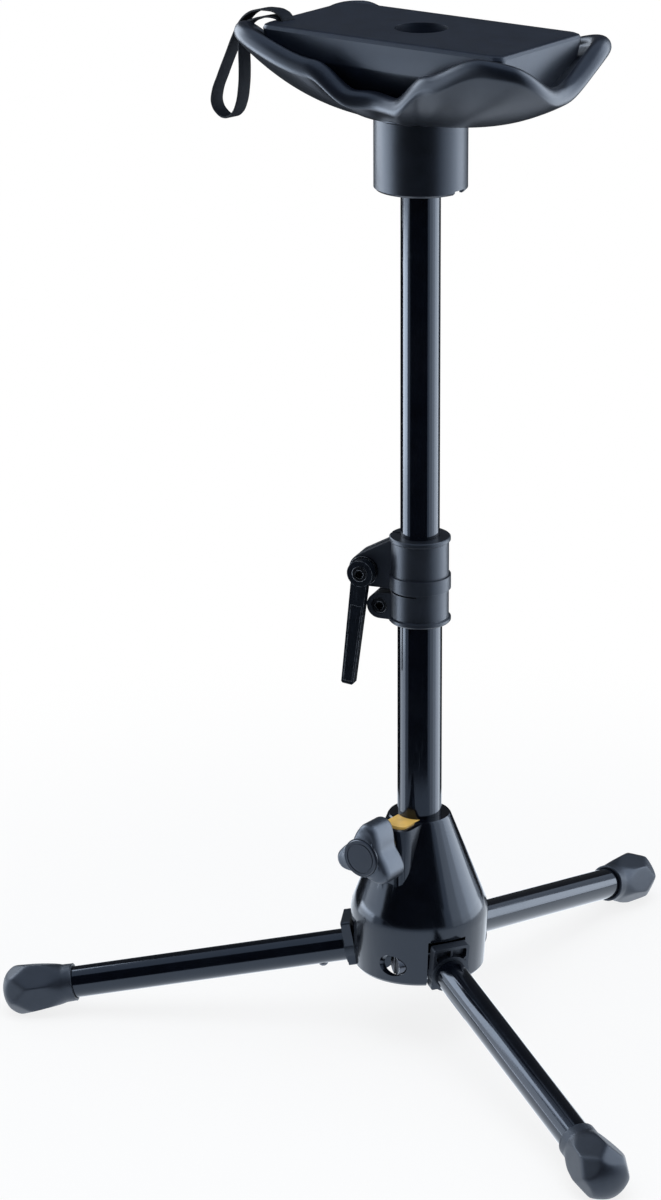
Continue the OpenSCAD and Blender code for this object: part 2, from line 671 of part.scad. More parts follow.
// Insert block: its underside follows the inside of the cradle
module insert_block() {
  rings = concat(
    [for (i = [len(inside_steps) - 1 : -1 : 0])
      bowl_ring(180, insert_gap, dish_floor - insert_gap, 0, inside_steps[i], inside_power)],
    [for (b = [180, 150, 120, 90]) bead_ring(b, insert_gap)],
    [ledge_ring(14, insert_gap)],
    [lid_ring(14, 12)]);
  color("#202227") translate([0, 0, dish_top_z]) difference() {
    intersection() {
      ring_skin(rings, [0, 0, -dish_floor + insert_gap], [0, 0, 12]);
      hull() for (step = insert_steps, x = [-1, 1], y = [-1, 1])
        translate([x * (insert_l / 2 - 6 - step[0]), y * (insert_w / 2 - 6 - step[1]), step[2] - 0.3])
          cylinder(r = 6, h = 0.3, $fn = 32);
    }
    translate([0, 0, -dish_depth - 1]) cylinder(r = insert_hole_d / 2, h = dish_depth + 2);
    strap_frame() {
      translate([-slot_w / 2, -strap_w / 2 - 0.6, -slot_depth])
        cube([slot_w, strap_w + 1.2, slot_depth + 1]);
      translate([0, -strap_w / 2 - 3, anchor_z]) rod_y(anchor_r + fixed_gap, strap_w + 6);
    }
  }
}
module strap_anchor() {
  color("#8a8d92") translate([0, 0, dish_top_z]) strap_frame()
    translate([0, -strap_w / 2 - 2.9, anchor_z]) rod_y(anchor_r, strap_w + 5.8);
}
// Place along x of a point of the strap: held to the slot at one end and to the rim at the other
function strap_x(x) = x > -4 ? x : x > -32 ? -4 + (x + 4) * (slot_to_rim - 4) / 27.5 : x + 31.5 - slot_to_rim;
// Line of the strap in its plane: up out of the slot, over the rim, down, round and back
strap_line = [for (p = [
  [2.3, -7.6], [2.3, -2], [1, 2], [-4, 4.6], [-13, 5], [-22, 3.6], [-29.5, 0.4], [-36, -5.4],
  [-41.4, -13.5], [-48.5, -27], [-56, -41.5], [-61.6, -54], [-62, -60.5], [-58, -65.6], [-50.5, -67.8],
  [-44, -64.5], [-40, -58], [-37.4, -47], [-36.6, -36], [-36.8, -25], [-36.6, -16], [-35, -9.6],
  [-31, -5.4], [-24, -2.2], [-16, 0.2], [-9.4, 1.2], [-4.4, 1.05], [-3.2, 0.9], [-2.5, 0.4], [-2.3, -0.8],
  [-2.3, -7.6], [-1.6, -9.2], [0, -9.9], [1.6, -9.2]]) [strap_x(p[0]), p[1]]];
function strap_side(side) = [for (i = [0 : len(strap_line) - 1])
  let (n = len(strap_line), d = strap_line[(i + 1) % n] - strap_line[(i + n - 1) % n],
    u = d / norm(d))
  strap_line[i] + side * strap_t / 2 * [-u[1], u[0]]];
module pull_strap() {
  n = len(strap_line);
  color("#1c1d20") translate([0, 0, dish_top_z]) strap_frame() slab_y(-strap_w / 2, strap_w / 2)
    polygon(concat(strap_side(1), strap_side(-1)),
      [[for (i = [0 : n - 1]) i], [for (i = [0 : n - 1]) n + i]]);
}

hub_body();
knob_nut();
leg_pivot_bolts();
leg_pivot_nuts();
leg_bracket(LEFT);  // leg_bracket_left
leg_bracket(RIGHT);  // leg_bracket_right
leg_bracket(REAR);  // leg_bracket_rear
leg_tube(LEFT);  // leg_tube_left
leg_tube(RIGHT);  // leg_tube_right
leg_tube(REAR);  // leg_tube_rear
leg_screw(LEFT);  // leg_screw_left
leg_screw(RIGHT);  // leg_screw_right
leg_screw(REAR);  // leg_screw_rear
rubber_foot(LEFT);  // rubber_foot_left
rubber_foot(RIGHT);  // rubber_foot_right
rubber_foot(REAR);  // rubber_foot_rear
clamp_shoe();
knob_screw();
star_knob();
knob_cap();
lower_tube();
lower_tube_plug();
height_clamp();
clamp_liner();
lever_nut();
fixing_bolt();
fixing_nut();
lever_bolt();
lever_washer();
clamp_lever();
upper_tube();
upper_tube_glide();
upper_tube_top_plug();
cradle_screw();
cradle_washer();
cradle_socket();
cradle_dish();
insert_block();
strap_anchor();
pull_strap();
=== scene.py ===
"""Looks of a folding floor stand with a moulded cradle, built around its packed CAD frame.

Sizes are in metres in the frame of the CAD: origin on the column axis at floor level, +Z up, the
knob of the base toward -Y and the long side of the cradle along X.
"""

from __future__ import annotations

import json
import logging
import math
from dataclasses import dataclass
from enum import Enum
from typing import Any, Callable, ClassVar, Sequence

import bmesh
import bpy
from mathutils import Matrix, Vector

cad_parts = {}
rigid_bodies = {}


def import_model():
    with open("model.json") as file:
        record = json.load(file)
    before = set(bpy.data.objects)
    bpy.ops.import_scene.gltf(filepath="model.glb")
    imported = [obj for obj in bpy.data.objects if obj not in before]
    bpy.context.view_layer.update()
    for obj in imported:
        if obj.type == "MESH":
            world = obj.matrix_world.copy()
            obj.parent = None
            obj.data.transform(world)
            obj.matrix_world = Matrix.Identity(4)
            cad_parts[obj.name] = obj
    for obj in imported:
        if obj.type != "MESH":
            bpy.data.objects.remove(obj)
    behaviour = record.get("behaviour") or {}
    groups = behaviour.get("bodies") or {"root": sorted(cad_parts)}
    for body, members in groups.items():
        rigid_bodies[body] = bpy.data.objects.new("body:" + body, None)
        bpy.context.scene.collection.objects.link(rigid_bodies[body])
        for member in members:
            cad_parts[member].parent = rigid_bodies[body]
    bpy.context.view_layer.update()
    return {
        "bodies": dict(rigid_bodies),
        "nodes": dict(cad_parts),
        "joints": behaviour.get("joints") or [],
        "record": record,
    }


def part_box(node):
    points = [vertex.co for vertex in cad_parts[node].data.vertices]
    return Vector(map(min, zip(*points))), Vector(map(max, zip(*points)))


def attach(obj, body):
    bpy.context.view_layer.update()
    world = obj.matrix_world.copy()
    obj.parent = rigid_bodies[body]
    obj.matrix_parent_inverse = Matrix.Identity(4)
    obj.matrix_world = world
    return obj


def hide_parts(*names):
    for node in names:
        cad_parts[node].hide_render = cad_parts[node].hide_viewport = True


LOG = logging.getLogger("stand")
MM = 0.001
FULL_TURN = 2.0 * math.pi
TAPE_MAP = "tape"
PHOTO_SIZE = (661, 1200)

Colour = tuple[float, float, float]
Socket = bpy.types.NodeSocket
WHITE: Colour = (1.0, 1.0, 1.0)


class Turn(Enum):
    """Directions of the three legs about the column, in degrees from +X."""

    LEFT = 210.0
    RIGHT = 330.0
    REAR = 90.0


class Wear(Enum):
    """How far handling has polished or chafed a finish, as a share of the full edge mask."""

    NONE = 0.0
    LIGHT = 0.35
    HANDLED = 0.7


def _operator(operation: str, meaning: str, turned: bool = False) -> Callable[..., Wire]:
    """Method of Wire that adds one Math node.

    Args:
        operation: the node's operation.
        meaning: the method's docstring.
        turned: put the other value first.

    Returns:
        The method.
    """

    def method(self: Wire, *others: Any) -> Wire:
        values = (*others, self) if turned else (self, *others)
        return self.tree.wire("ShaderNodeMath", dict(enumerate(values)), operation=operation)

    method.__doc__ = meaning
    return method


class Wire:
    """A value on a node tree, with arithmetic that adds Math nodes."""

    def __init__(self, tree: Tree, socket: Socket) -> None:
        """Wraps one output socket of a tree."""
        self.tree = tree
        self.socket = socket

    __add__ = __radd__ = _operator("ADD", "Sum.")
    __sub__ = _operator("SUBTRACT", "Difference.")
    __rsub__ = _operator("SUBTRACT", "Difference from a plain number.", turned=True)
    __mul__ = __rmul__ = _operator("MULTIPLY", "Product.")
    __truediv__ = _operator("DIVIDE", "Quotient.")
    __rtruediv__ = _operator("DIVIDE", "Quotient of a plain number.", turned=True)
    __pow__ = _operator("POWER", "Power.")
    __abs__ = _operator("ABSOLUTE", "Absolute value.")
    sin = _operator("SINE", "Sine of an angle in radians.")
    cos = _operator("COSINE", "Cosine of an angle in radians.")
    atan2 = _operator("ARCTAN2", "Angle of the point (other, self).")
    at_most = _operator("MINIMUM", "The smaller of two values.")
    at_least = _operator("MAXIMUM", "The larger of two values.")
    above = _operator("GREATER_THAN", "1 where this is above the other, else 0.")

    def __neg__(self) -> Wire:
        """Negative."""
        return self * -1.0

    def share(self, low: Any, high: Any) -> Wire:
        """Straight share of the way from low to high, held between 0 and 1."""
        return ((self - low) / (high - low)).at_least(0.0).at_most(1.0)

    def ramp(self, low: Any, high: Any) -> Wire:
        """Smooth share of the way from low to high."""
        t = self.share(low, high)
        return t * t * (3.0 - 2.0 * t)

    def blend(self, other: Any, share: Any) -> Wire:
        """This value at share 0 and the other at share 1."""
        return self * (1.0 - share) + other * share


class Tree:
    """A shader or geometry node tree, and the one method that adds nodes to it."""

    def __init__(self, nodes: bpy.types.NodeTree) -> None:
        """Wraps an empty tree."""
        self.tree = nodes

    @classmethod
    def of(cls, owner: bpy.types.Material | bpy.types.World) -> Tree:
        """Emptied tree of a new material or world."""
        owner.use_nodes = True
        owner.node_tree.nodes.clear()
        return cls(owner.node_tree)

    def node(
        self,
        kind: str,
        settings: dict[str, Any] | None = None,
        inputs: dict[int | str, Any] | None = None,
    ) -> bpy.types.Node:
        """Adds a node.

        Args:
            kind: the node's type.
            settings: properties, which are set before the sockets.
            inputs: a value, a Wire or an output socket for each named or numbered input.

        Returns:
            The new node.
        """
        made = self.tree.nodes.new(kind)
        for name, value in (settings or {}).items():
            setattr(made, name, value)
        for name, value in (inputs or {}).items():
            if isinstance(value, Wire):
                value = value.socket
            if isinstance(value, Socket):
                self.tree.links.new(value, made.inputs[name])
            else:
                made.inputs[name].default_value = value
        return made

    def out(self, kind: str, inputs: dict | None = None, output: int | str = 0, **settings: Any) -> Socket:
        """Adds a node and gives one of its outputs."""
        return self.node(kind, settings, inputs).outputs[output]

    def wire(self, kind: str, inputs: dict | None = None, output: int | str = 0, **settings: Any) -> Wire:
        """Adds a node and wraps one of its outputs."""
        return Wire(self, self.out(kind, inputs, output, **settings))

    def mix_colour(self, share: Any, low: Any, high: Any) -> Socket:
        """Colour that runs from low to high with share."""
        ends = [(*end, 1.0) if isinstance(end, tuple) else end for end in (low, high)]
        return self.out("ShaderNodeMix", {0: share, 6: ends[0], 7: ends[1]}, 2, data_type="RGBA")

    def vector(self, operation: str, *values: Any) -> Socket:
        """Vector that a Vector Math node gives."""
        return self.out("ShaderNodeVectorMath", dict(enumerate(values)), operation=operation)

    def measure(self, operation: str, *values: Any) -> Wire:
        """Number that a Vector Math node gives."""
        return self.wire("ShaderNodeVectorMath", dict(enumerate(values)), "Value", operation=operation)

    def place(self) -> Socket:
        """Object coordinates."""
        return self.out("ShaderNodeTexCoord", output="Object")

    def normal(self) -> Socket:
        """Normal of the surface."""
        return self.out("ShaderNodeNewGeometry", output="Normal")

    def split(self, vector: Socket) -> list[Wire]:
        """The three parts of a vector."""
        return [Wire(self, part) for part in self.node("ShaderNodeSeparateXYZ", None, {0: vector}).outputs]

    def keep(self, geometry: Socket, name: str, value: Socket) -> tuple[Socket, Wire]:
        """Keeps a number on a geometry, and gives the geometry and the kept number."""
        made = self.node("GeometryNodeCaptureAttribute", None, {"Geometry": geometry})
        made.capture_items.new("FLOAT", name)
        self.tree.links.new(value, made.inputs[1])
        return made.outputs[0], Wire(self, made.outputs[1])

    def join(self, x: Any = 0.0, y: Any = 0.0, z: Any = 0.0) -> Socket:
        """Vector of three parts."""
        return self.out("ShaderNodeCombineXYZ", {0: x, 1: y, 2: z})


@dataclass(frozen=True)
class Finish:
    """A procedural material: grain, cloudy roughness, chafed edges and a fine bump.

    Attributes:
        name: the material's name.
        colour: linear base colour.
        rough, rough_spread: roughness of a clean surface, and how much it wanders.
        grain, grain_height: features of the fine bump per metre, and its height in metres.
        metallic: 0 for a plastic or paint, 1 for bare metal.
        level: specular level of the clear skin.
        wear, worn: how far the edges are chafed, and the colour that shows there.
        stretch: stretch of the grain along x, y and z, for brushed or drawn metal.
        dust, tint: colour and strength of the faint film that lies over the surface.
        film: tint of the mirror reflection, cool on the black finishes.
    """

    name: str
    colour: Colour
    rough: float
    rough_spread: float = 0.06
    grain: float = 1800.0
    grain_height: float = 0.00002
    metallic: float = 0.0
    level: float = 0.5
    wear: Wear = Wear.LIGHT
    worn_and_highlight: Colour = (0.03, 0.034, 0.042)
    stretch: tuple[float, float, float] = (1.0, 1.0, 1.0)
    dust: Colour = (0.05, 0.056, 0.068)
    tint: float = 0.05
    film: Colour = (0.72, 0.83, 1.0)

    EDGE_RADIUS: ClassVar[float] = 0.0007
    CHAFED_ROUGH: ClassVar[float] = 0.12
    ROUGH_RANGE: ClassVar[tuple[float, float]] = (0.03, 0.95)

    def edge_mask(self, tree: Tree) -> Wire:
        """Mask that is 1 on a sharp outer edge, from the rounded normal of the Bevel node."""
        rounded = tree.out("ShaderNodeBevel", {"Radius": self.EDGE_RADIUS}, samples=4)
        return (1.0 - tree.measure("DOT_PRODUCT", rounded, tree.normal())).ramp(0.01, 0.16)

    def noise(self, tree: Tree, scale: float, detail: float = 2.0, rough: float = 0.5) -> Wire:
        """Noise on the object's own coordinates."""
        spread = tree.out("ShaderNodeMapping", {"Vector": tree.place(), "Scale": self.stretch})
        return tree.wire(
            "ShaderNodeTexNoise", {"Vector": spread, "Scale": scale, "Detail": detail, "Roughness": rough}
        )

    def height(self, tree: Tree) -> Wire:
        """Height of the fine bump, from 0 to 1."""
        return self.noise(tree, self.grain, 3.0) * 0.7 + self.noise(tree, self.grain * 0.3, 2.0) * 0.3

    def extra_rough(self, tree: Tree) -> Wire | float:
        """What a special finish adds to its roughness."""
        return 0.0

    def form(self, tree: Tree) -> Socket:
        """Normal that the fine bump is laid on."""
        return tree.normal()

    def shade(self, factor: float) -> Colour:
        """Base colour times a factor."""
        return tuple(c * factor for c in self.colour)

    def base(self, tree: Tree) -> Socket:
        """Base colour with its slow variation, under its film of dust."""
        film = self.noise(tree, 26.0, 4.0, 0.6).ramp(0.35, 0.75) * self.tint
        clouds = self.noise(tree, 90.0, 3.0).ramp(0.3, 0.7)
        return tree.mix_colour(film, tree.mix_colour(clouds, self.shade(0.72), self.colour), self.dust)

    def make(self) -> bpy.types.Material:
        """Builds the material.

        Returns:
            The material, ready to be put into a slot.
        """
        material = bpy.data.materials.new(self.name)
        tree = Tree.of(material)
        colour = self.base(tree)
        rough = self.rough + (self.noise(tree, 40.0, 4.0, 0.65) - 0.5) * (2.0 * self.rough_spread)
        rough = rough + self.extra_rough(tree)
        if self.wear is not Wear.NONE:
            # Chafed edges drawn in a lighter colour: wear, and on the lever and the black steel also a painted rim
            # highlight.
            chips = self.noise(tree, 420.0, 3.0).ramp(0.25, 0.6)
            edge = self.edge_mask(tree) * (chips * self.wear.value)
            colour = tree.mix_colour(edge, colour, self.worn_and_highlight)
            rough = rough + edge * self.CHAFED_ROUGH
        smoothest, roughest = self.ROUGH_RANGE
        bump = {
            "Strength": 1.0, "Distance": self.grain_height, "Height": self.height(tree), "Normal": self.form(tree),
        }
        shader = tree.out("ShaderNodeBsdfPrincipled", {
            "Base Color": colour,
            "Roughness": rough.at_least(smoothest).at_most(roughest),
            "Metallic": self.metallic,
            "Specular IOR Level": self.level,
            "Specular Tint": (*self.film, 1.0),
            "Normal": tree.out("ShaderNodeBump", bump),
        })
        tree.node("ShaderNodeOutputMaterial", None, {"Surface": shader})
        return material


@dataclass(frozen=True)
class GlossCoat(Finish):
    """Gloss powder coat or enamel: orange peel, a few long hairline scuffs."""

    tint: float = 0.03

    def height(self, tree: Tree) -> Wire:
        """Orange peel a few millimetres across, under a trace of fine grain."""
        return self.noise(tree, 240.0, 1.0) * 0.85 + self.noise(tree, self.grain, 2.0) * 0.15

    def extra_rough(self, tree: Tree) -> Wire:
        """Hairline scuffs and faint fingerprints, which dull the gloss."""
        turned = tree.out(
            "ShaderNodeMapping", {"Vector": tree.place(), "Rotation": (0.5, 0.3, 0.9), "Scale": (1.0, 30.0, 1.0)}
        )
        lines = tree.wire("ShaderNodeTexNoise", {"Vector": turned, "Scale": 60.0, "Detail": 2.0})
        return lines.ramp(0.62, 0.72) * 0.10 + self.noise(tree, 15.0, 5.0).ramp(0.52, 0.7) * 0.06


@dataclass(frozen=True)
class Moulding(Finish):
    """Moulded plastic or rubber: a spark-eroded pebble grain and rubbed patches."""

    def height(self, tree: Tree) -> Wire:
        """Pebble grain from a cell pattern, softened with noise."""
        cells = {"Vector": tree.place(), "Scale": self.grain, "Smoothness": 0.6}
        pebbles = tree.wire("ShaderNodeTexVoronoi", cells, feature="SMOOTH_F1")
        return pebbles * 0.6 + self.noise(tree, self.grain * 0.6, 3.0) * 0.4

    def extra_rough(self, tree: Tree) -> Wire:
        """Patches that hands have polished a little."""
        return self.noise(tree, 12.0, 3.0).ramp(0.5, 0.8) * -0.07


@dataclass(frozen=True)
class Casting(GlossCoat):
    """Gloss coat of the hub, whose crease between skirt and cone is softly rounded.

    Attributes:
        crease: heights between which the skin turns from the skirt to the cone, in metres.
        slant: tangent of the cone's lean.
        radius: radii between which the skin lies.
        fade: height over which the turn fades out above and below.
    """

    crease: tuple[float, float] = (0.086, 0.1)
    slant: float = 0.389
    radius: tuple[float, float] = (0.0395, 0.0452)
    fade: float = 0.002

    def form(self, tree: Tree) -> Socket:
        """Normal of the surface, rounded across the crease of the outer skin."""
        flat = tree.normal()
        x, y, z = tree.split(tree.place())
        reach = (x * x + y * y) ** 0.5
        facing = tree.measure("DOT_PRODUCT", tree.join(x / reach, y / reach), flat)
        low, high = self.crease
        turned = tree.join(x / reach, y / reach, z.share(low, high) * self.slant)
        on_skin = facing.above(0.9) * reach.above(self.radius[0]) * (1.0 - reach.above(self.radius[1]))
        near = z.ramp(low - self.fade, low) * (1.0 - z.ramp(high, high + self.fade)) * on_skin
        mixed = tree.out("ShaderNodeMix", {0: near, 4: flat, 5: turned}, 1, data_type="VECTOR")
        return tree.vector("NORMALIZE", mixed)


@dataclass(frozen=True)
class FoamBlock(Moulding):
    """Moulding of the insert, whose two ends are a little hollow from top to bottom.

    Attributes:
        end: distance of the ends from the middle, in metres.
        hollow: how far the ends' normals turn upwards.
    """

    end: float = 0.0855
    hollow: float = 0.6

    def form(self, tree: Tree) -> Socket:
        """Normal of the surface, turned upwards on the ends."""
        flat = tree.normal()
        lean = abs(tree.split(flat)[0]).ramp(0.75, 0.97) * abs(tree.split(tree.place())[0]).above(self.end)
        return tree.vector("NORMALIZE", tree.vector("ADD", flat, tree.join(z=lean * self.hollow)))


@dataclass(frozen=True)
class DrawnMetal(Finish):
    """Bare metal with drawing or turning lines across its grain."""

    metallic: float = 1.0
    grain: float = 1400.0
    worn_and_highlight: Colour = (0.7, 0.7, 0.72)
    film: Colour = WHITE

    def extra_rough(self, tree: Tree) -> Wire:
        """Streaks that follow the stretched grain."""
        return (self.noise(tree, 300.0, 2.0) - 0.5) * 0.22


@dataclass(frozen=True)
class Webbing(Finish):
    """Woven tape: warp ribs along it and weft picks across it, on the piece's own UV map.

    Attributes:
        pitch: distance of the picks along the tape, in metres.
        warp_lines: ribs across the tape.
    """

    pitch: float = 0.00115
    warp_lines: float = 9.0

    def weave(self, tree: Tree) -> tuple[Wire, Wire, Wire]:
        """The woven surface.

        Returns:
            Height, a mask of the sunk gaps between threads, and a value that differs by thread.
        """
        u, v, _ = tree.split(tree.out("ShaderNodeUVMap", uv_map=TAPE_MAP))
        along = u * (FULL_TURN / self.pitch)
        across = v * (math.pi * self.warp_lines)
        pick = (along + across.sin().above(0.0) * math.pi).sin() * 0.5 + 0.5
        height = abs(across.sin()) ** 0.6 * (0.35 + 0.65 * pick)
        return height + self.noise(tree, 5200.0, 2.0) * 0.25, 1.0 - height.ramp(0.1, 0.45), pick

    def height(self, tree: Tree) -> Wire:
        """Height of the weave."""
        return self.weave(tree)[0]

    def base(self, tree: Tree) -> Socket:
        """Threads of slightly different black, darker where they dip."""
        _, gap, pick = self.weave(tree)
        # The sunk gaps get a darker black: painted shade between the threads.
        return tree.mix_colour(gap, tree.mix_colour(pick, self.shade(0.8), self.shade(1.6)), self.shade(0.3))


class Palette:
    """Every finish of the stand, made once and handed out by the record's slot name."""

    GLOSS_BLACK: ClassVar[Colour] = (0.002, 0.0028, 0.0055)
    FINISHES: ClassVar[tuple[Finish, ...]] = (
        Casting("gloss_black_casting", GLOSS_BLACK, 0.15, 0.03, grain_height=0.000006),
        GlossCoat("gloss_black_tube", GLOSS_BLACK, 0.1, 0.02, grain_height=0.000003),
        # The lever's light edge colour is partly wear and partly a painted rim highlight.
        GlossCoat("gloss_black_lever", (0.004, 0.0058, 0.0095), 0.2, 0.03, grain_height=0.000006,
                  wear=Wear.HANDLED, worn_and_highlight=(0.17, 0.19, 0.22)),
        Moulding("matte_black_nylon", (0.006, 0.0078, 0.0125), 0.4, 0.05, grain=2600.0),
        Moulding("satin_black_plastic", (0.0046, 0.0064, 0.012), 0.35, 0.03, grain=3000.0, grain_height=0.000012),
        FoamBlock("insert_black", (0.006, 0.009, 0.0175), 0.41, 0.04, grain=2400.0),
        Moulding("soft_grip_black", (0.015, 0.019, 0.0275), 0.4, 0.05, grain=2800.0, grain_height=0.000015,
                 level=0.75, wear=Wear.HANDLED, worn_and_highlight=(0.035, 0.039, 0.048)),
        Moulding("black_rubber", (0.0085, 0.0105, 0.016), 0.46, grain=2000.0, worn_and_highlight=(0.04, 0.043, 0.05), tint=0.1),
        Moulding("amber_plastic", (1.0, 0.63, 0.16), 0.36, 0.05, grain=2600.0, wear=Wear.NONE,
                 dust=(0.75, 0.52, 0.2), film=WHITE),
        Moulding("white_glide", (0.78, 0.75, 0.66), 0.4, 0.04, grain=2200.0, wear=Wear.NONE,
                 dust=(0.3, 0.28, 0.25), film=WHITE),
        # The black steel's bright edge colour is bare steel at worn edges and partly a painted rim highlight.
        DrawnMetal("black_steel", (0.085, 0.092, 0.108), 0.26, 0.05, wear=Wear.HANDLED, worn_and_highlight=(0.55, 0.57, 0.6),
                   stretch=(1.0, 1.0, 0.15)),
        DrawnMetal("bright_steel", (0.5, 0.51, 0.53), 0.28, 0.05, stretch=(1.0, 0.12, 1.0)),
        DrawnMetal("brass", (0.62, 0.45, 0.19), 0.3, 0.05, stretch=(1.0, 0.1, 1.0), worn_and_highlight=(0.8, 0.62, 0.3),
                   dust=(0.12, 0.08, 0.04)),
        DrawnMetal("upper_plug_alloy", (0.55, 0.56, 0.58), 0.32, 0.05, stretch=(1.0, 1.0, 0.1)),
        Webbing("black_webbing", (0.005, 0.006, 0.009), 0.66, 0.05, grain_height=0.00012, level=0.12,
                wear=Wear.NONE),
    )

    def __init__(self) -> None:
        """Builds the materials."""
        self.made = {finish.name: finish.make() for finish in self.FINISHES}

    def __getitem__(self, slot: str) -> bpy.types.Material:
        """Material of a slot."""
        return self.made[slot]

    def dress(self, obj: bpy.types.Object, slot: str) -> None:
        """Puts a finish into an object in place of its materials."""
        obj.data.materials.clear()
        obj.data.materials.append(self.made[slot])


class NodeGroup:
    """A geometry node group with named inputs."""

    SOCKETS: ClassVar[dict[type, str]] = {
        float: "NodeSocketFloat", int: "NodeSocketInt", tuple: "NodeSocketVector", type(None): "NodeSocketMaterial",
    }

    def __init__(self, name: str, **inputs: float | int | tuple | None) -> None:
        """Makes the group.

        Args:
            name: the group's name.
            inputs: starting value of each input, whose type gives the socket's, with None for a material.
        """
        self.group = bpy.data.node_groups.new(name, "GeometryNodeTree")
        self.tree = Tree(self.group)
        face = self.group.interface
        face.new_socket("Geometry", in_out="INPUT", socket_type="NodeSocketGeometry")
        for key, value in inputs.items():
            socket = face.new_socket(key, in_out="INPUT", socket_type=self.SOCKETS[type(value)])
            if value is not None:
                socket.default_value = value
        face.new_socket("Geometry", in_out="OUTPUT", socket_type="NodeSocketGeometry")
        self.source = self.tree.node("NodeGroupInput").outputs

    def value(self, name: str) -> Wire:
        """One of the group's inputs."""
        return Wire(self.tree, self.source[name])

    def close(self, geometry: Socket) -> None:
        """Joins the group's output."""
        self.tree.node("NodeGroupOutput", None, {0: geometry})

    def paint(self, geometry: Socket) -> None:
        """Realizes what is instanced, puts the group's finish on it and joins the output."""
        real = self.tree.out("GeometryNodeRealizeInstances", {0: geometry})
        self.close(self.tree.out("GeometryNodeSetMaterial", {"Geometry": real, "Material": self.value("Finish")}))

    def put_on(self, obj: bpy.types.Object, **values: Any) -> None:
        """Adds the group to an object as a modifier, with its inputs set by identifier.

        Args:
            obj: the object.
            values: the inputs that differ from their starting values.
        """
        modifier = obj.modifiers.new(self.group.name, "NODES")
        modifier.node_group = self.group
        for item in self.group.interface.items_tree:
            if item.item_type == "SOCKET" and item.in_out == "INPUT" and item.name in values:
                modifier[item.identifier] = values[item.name]


class Workshop:
    """What the sub-assemblies share: the frame, the palette and the shared node groups."""

    def __init__(self, frame: dict[str, Any]) -> None:
        """Keeps the frame and builds the finishes and node groups."""
        self.nodes: dict[str, bpy.types.Object] = frame["nodes"]
        self.slots = {row["node"]: row["material_slot"] for row in frame["record"]["subparts"]}
        self.palette = Palette()
        self.soften = self._soften_group()

    @staticmethod
    def _soften_group() -> NodeGroup:
        """Group that shades a mesh smooth, except at edges sharper than its angle.

        Returns:
            The group, whose input is Angle, in radians.
        """
        group = NodeGroup("soften", Angle=math.radians(32.0))
        tree = group.tree
        welded = tree.out("GeometryNodeMergeByDistance", {"Geometry": group.source[0], "Distance": 1e-6})
        bare = tree.out("GeometryNodeRemoveAttribute", {"Geometry": welded, "Name": "custom_normal"})
        faces = tree.out("GeometryNodeSetShadeSmooth", {"Geometry": bare, "Shade Smooth": True}, domain="FACE")
        crisp = tree.wire("GeometryNodeInputMeshEdgeAngle").above(group.value("Angle"))
        edges = {"Geometry": faces, "Selection": crisp, "Shade Smooth": False}
        group.close(tree.out("GeometryNodeSetShadeSmooth", edges, domain="EDGE"))
        return group

    def finish_node(self, name: str, bevel: float = 0.0, angle: float = 32.0) -> None:
        """Gives a CAD node its finish, softened shading and, where asked, rounded edges.

        Args:
            name: the CAD node.
            bevel: width of the rounded edges in millimetres, 0 for none.
            angle: edges that bend by more than this many degrees stay crisp.
        """
        obj = self.nodes[name]
        self.palette.dress(obj, self.slots[name])
        if bevel:
            obj.modifiers.new("weld", "WELD").merge_threshold = 2e-6
            flat = obj.modifiers.new("flat", "DECIMATE")
            flat.decimate_type, flat.angle_limit = "DISSOLVE", math.radians(0.6)
            edge = obj.modifiers.new("edge", "BEVEL")
            edge.width, edge.segments = bevel * MM, 2
            edge.limit_method, edge.angle_limit = "ANGLE", math.radians(38.0)
            edge.use_clamp_overlap, edge.harden_normals = True, False
        self.soften.put_on(obj, Angle=math.radians(angle))
        if bevel:
            even = obj.modifiers.new("even", "WEIGHTED_NORMAL")
            even.keep_sharp, even.weight = True, 90
        LOG.info("finished %s in %s", name, self.slots[name])

    def add(self, obj: bpy.types.Object, body: str, slot: str, *stands_for: str) -> None:
        """Dresses a finished piece and hands it to the frame.

        Args:
            obj: the piece, in place at rest.
            body: the body that it rides on.
            slot: the record's slot.
            stands_for: CAD nodes that it replaces.
        """
        self.palette.dress(obj, slot)
        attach(obj, body)
        if stands_for:
            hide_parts(*stands_for)
        LOG.info("piece %s: %d faces", obj.name, len(obj.data.polygons))

    @staticmethod
    def object_from(name: str, data: bpy.types.ID | None) -> bpy.types.Object:
        """Links a mesh, curve, lamp or camera as an object at the origin.

        Args:
            name: the object's name.
            data: what it shows.

        Returns:
            The object.
        """
        obj = bpy.data.objects.new(name, data)
        bpy.context.scene.collection.objects.link(obj)
        return obj

    def run(self, group: NodeGroup, name: str, slot: str, data: bpy.types.ID | None = None) -> bpy.types.Object:
        """Runs a node group and keeps its result as a plain mesh.

        Args:
            group: the group.
            name: the name of the result.
            slot: the slot whose finish the group puts on.
            data: the curve that the group starts from, or nothing.

        Returns:
            An object without modifiers.
        """
        label = f"{name}_source"
        source = self.object_from(label, data or bpy.data.meshes.new(label))
        group.put_on(source, Finish=self.palette[slot])
        bpy.context.view_layer.update()
        graph = bpy.context.evaluated_depsgraph_get()
        mesh = bpy.data.meshes.new_from_object(source.evaluated_get(graph))
        mesh.name = name
        source.modifiers.clear()
        bpy.data.objects.remove(source)
        return self.object_from(name, mesh)


def seal(build: bmesh.types.BMesh, mesh: bpy.types.Mesh, gap: float) -> None:
    """Welds a closed mesh, turns its faces outwards, shades them smooth and writes the mesh."""
    bmesh.ops.remove_doubles(build, verts=build.verts, dist=gap)
    bmesh.ops.recalc_face_normals(build, faces=build.faces)
    for face in build.faces:
        face.smooth = True
    build.to_mesh(mesh)
    build.free()


def outward(obj: bpy.types.Object) -> None:
    """Turns the faces of a closed mesh outwards."""
    build = bmesh.new()
    build.from_mesh(obj.data)
    seal(build, obj.data, 1e-6)


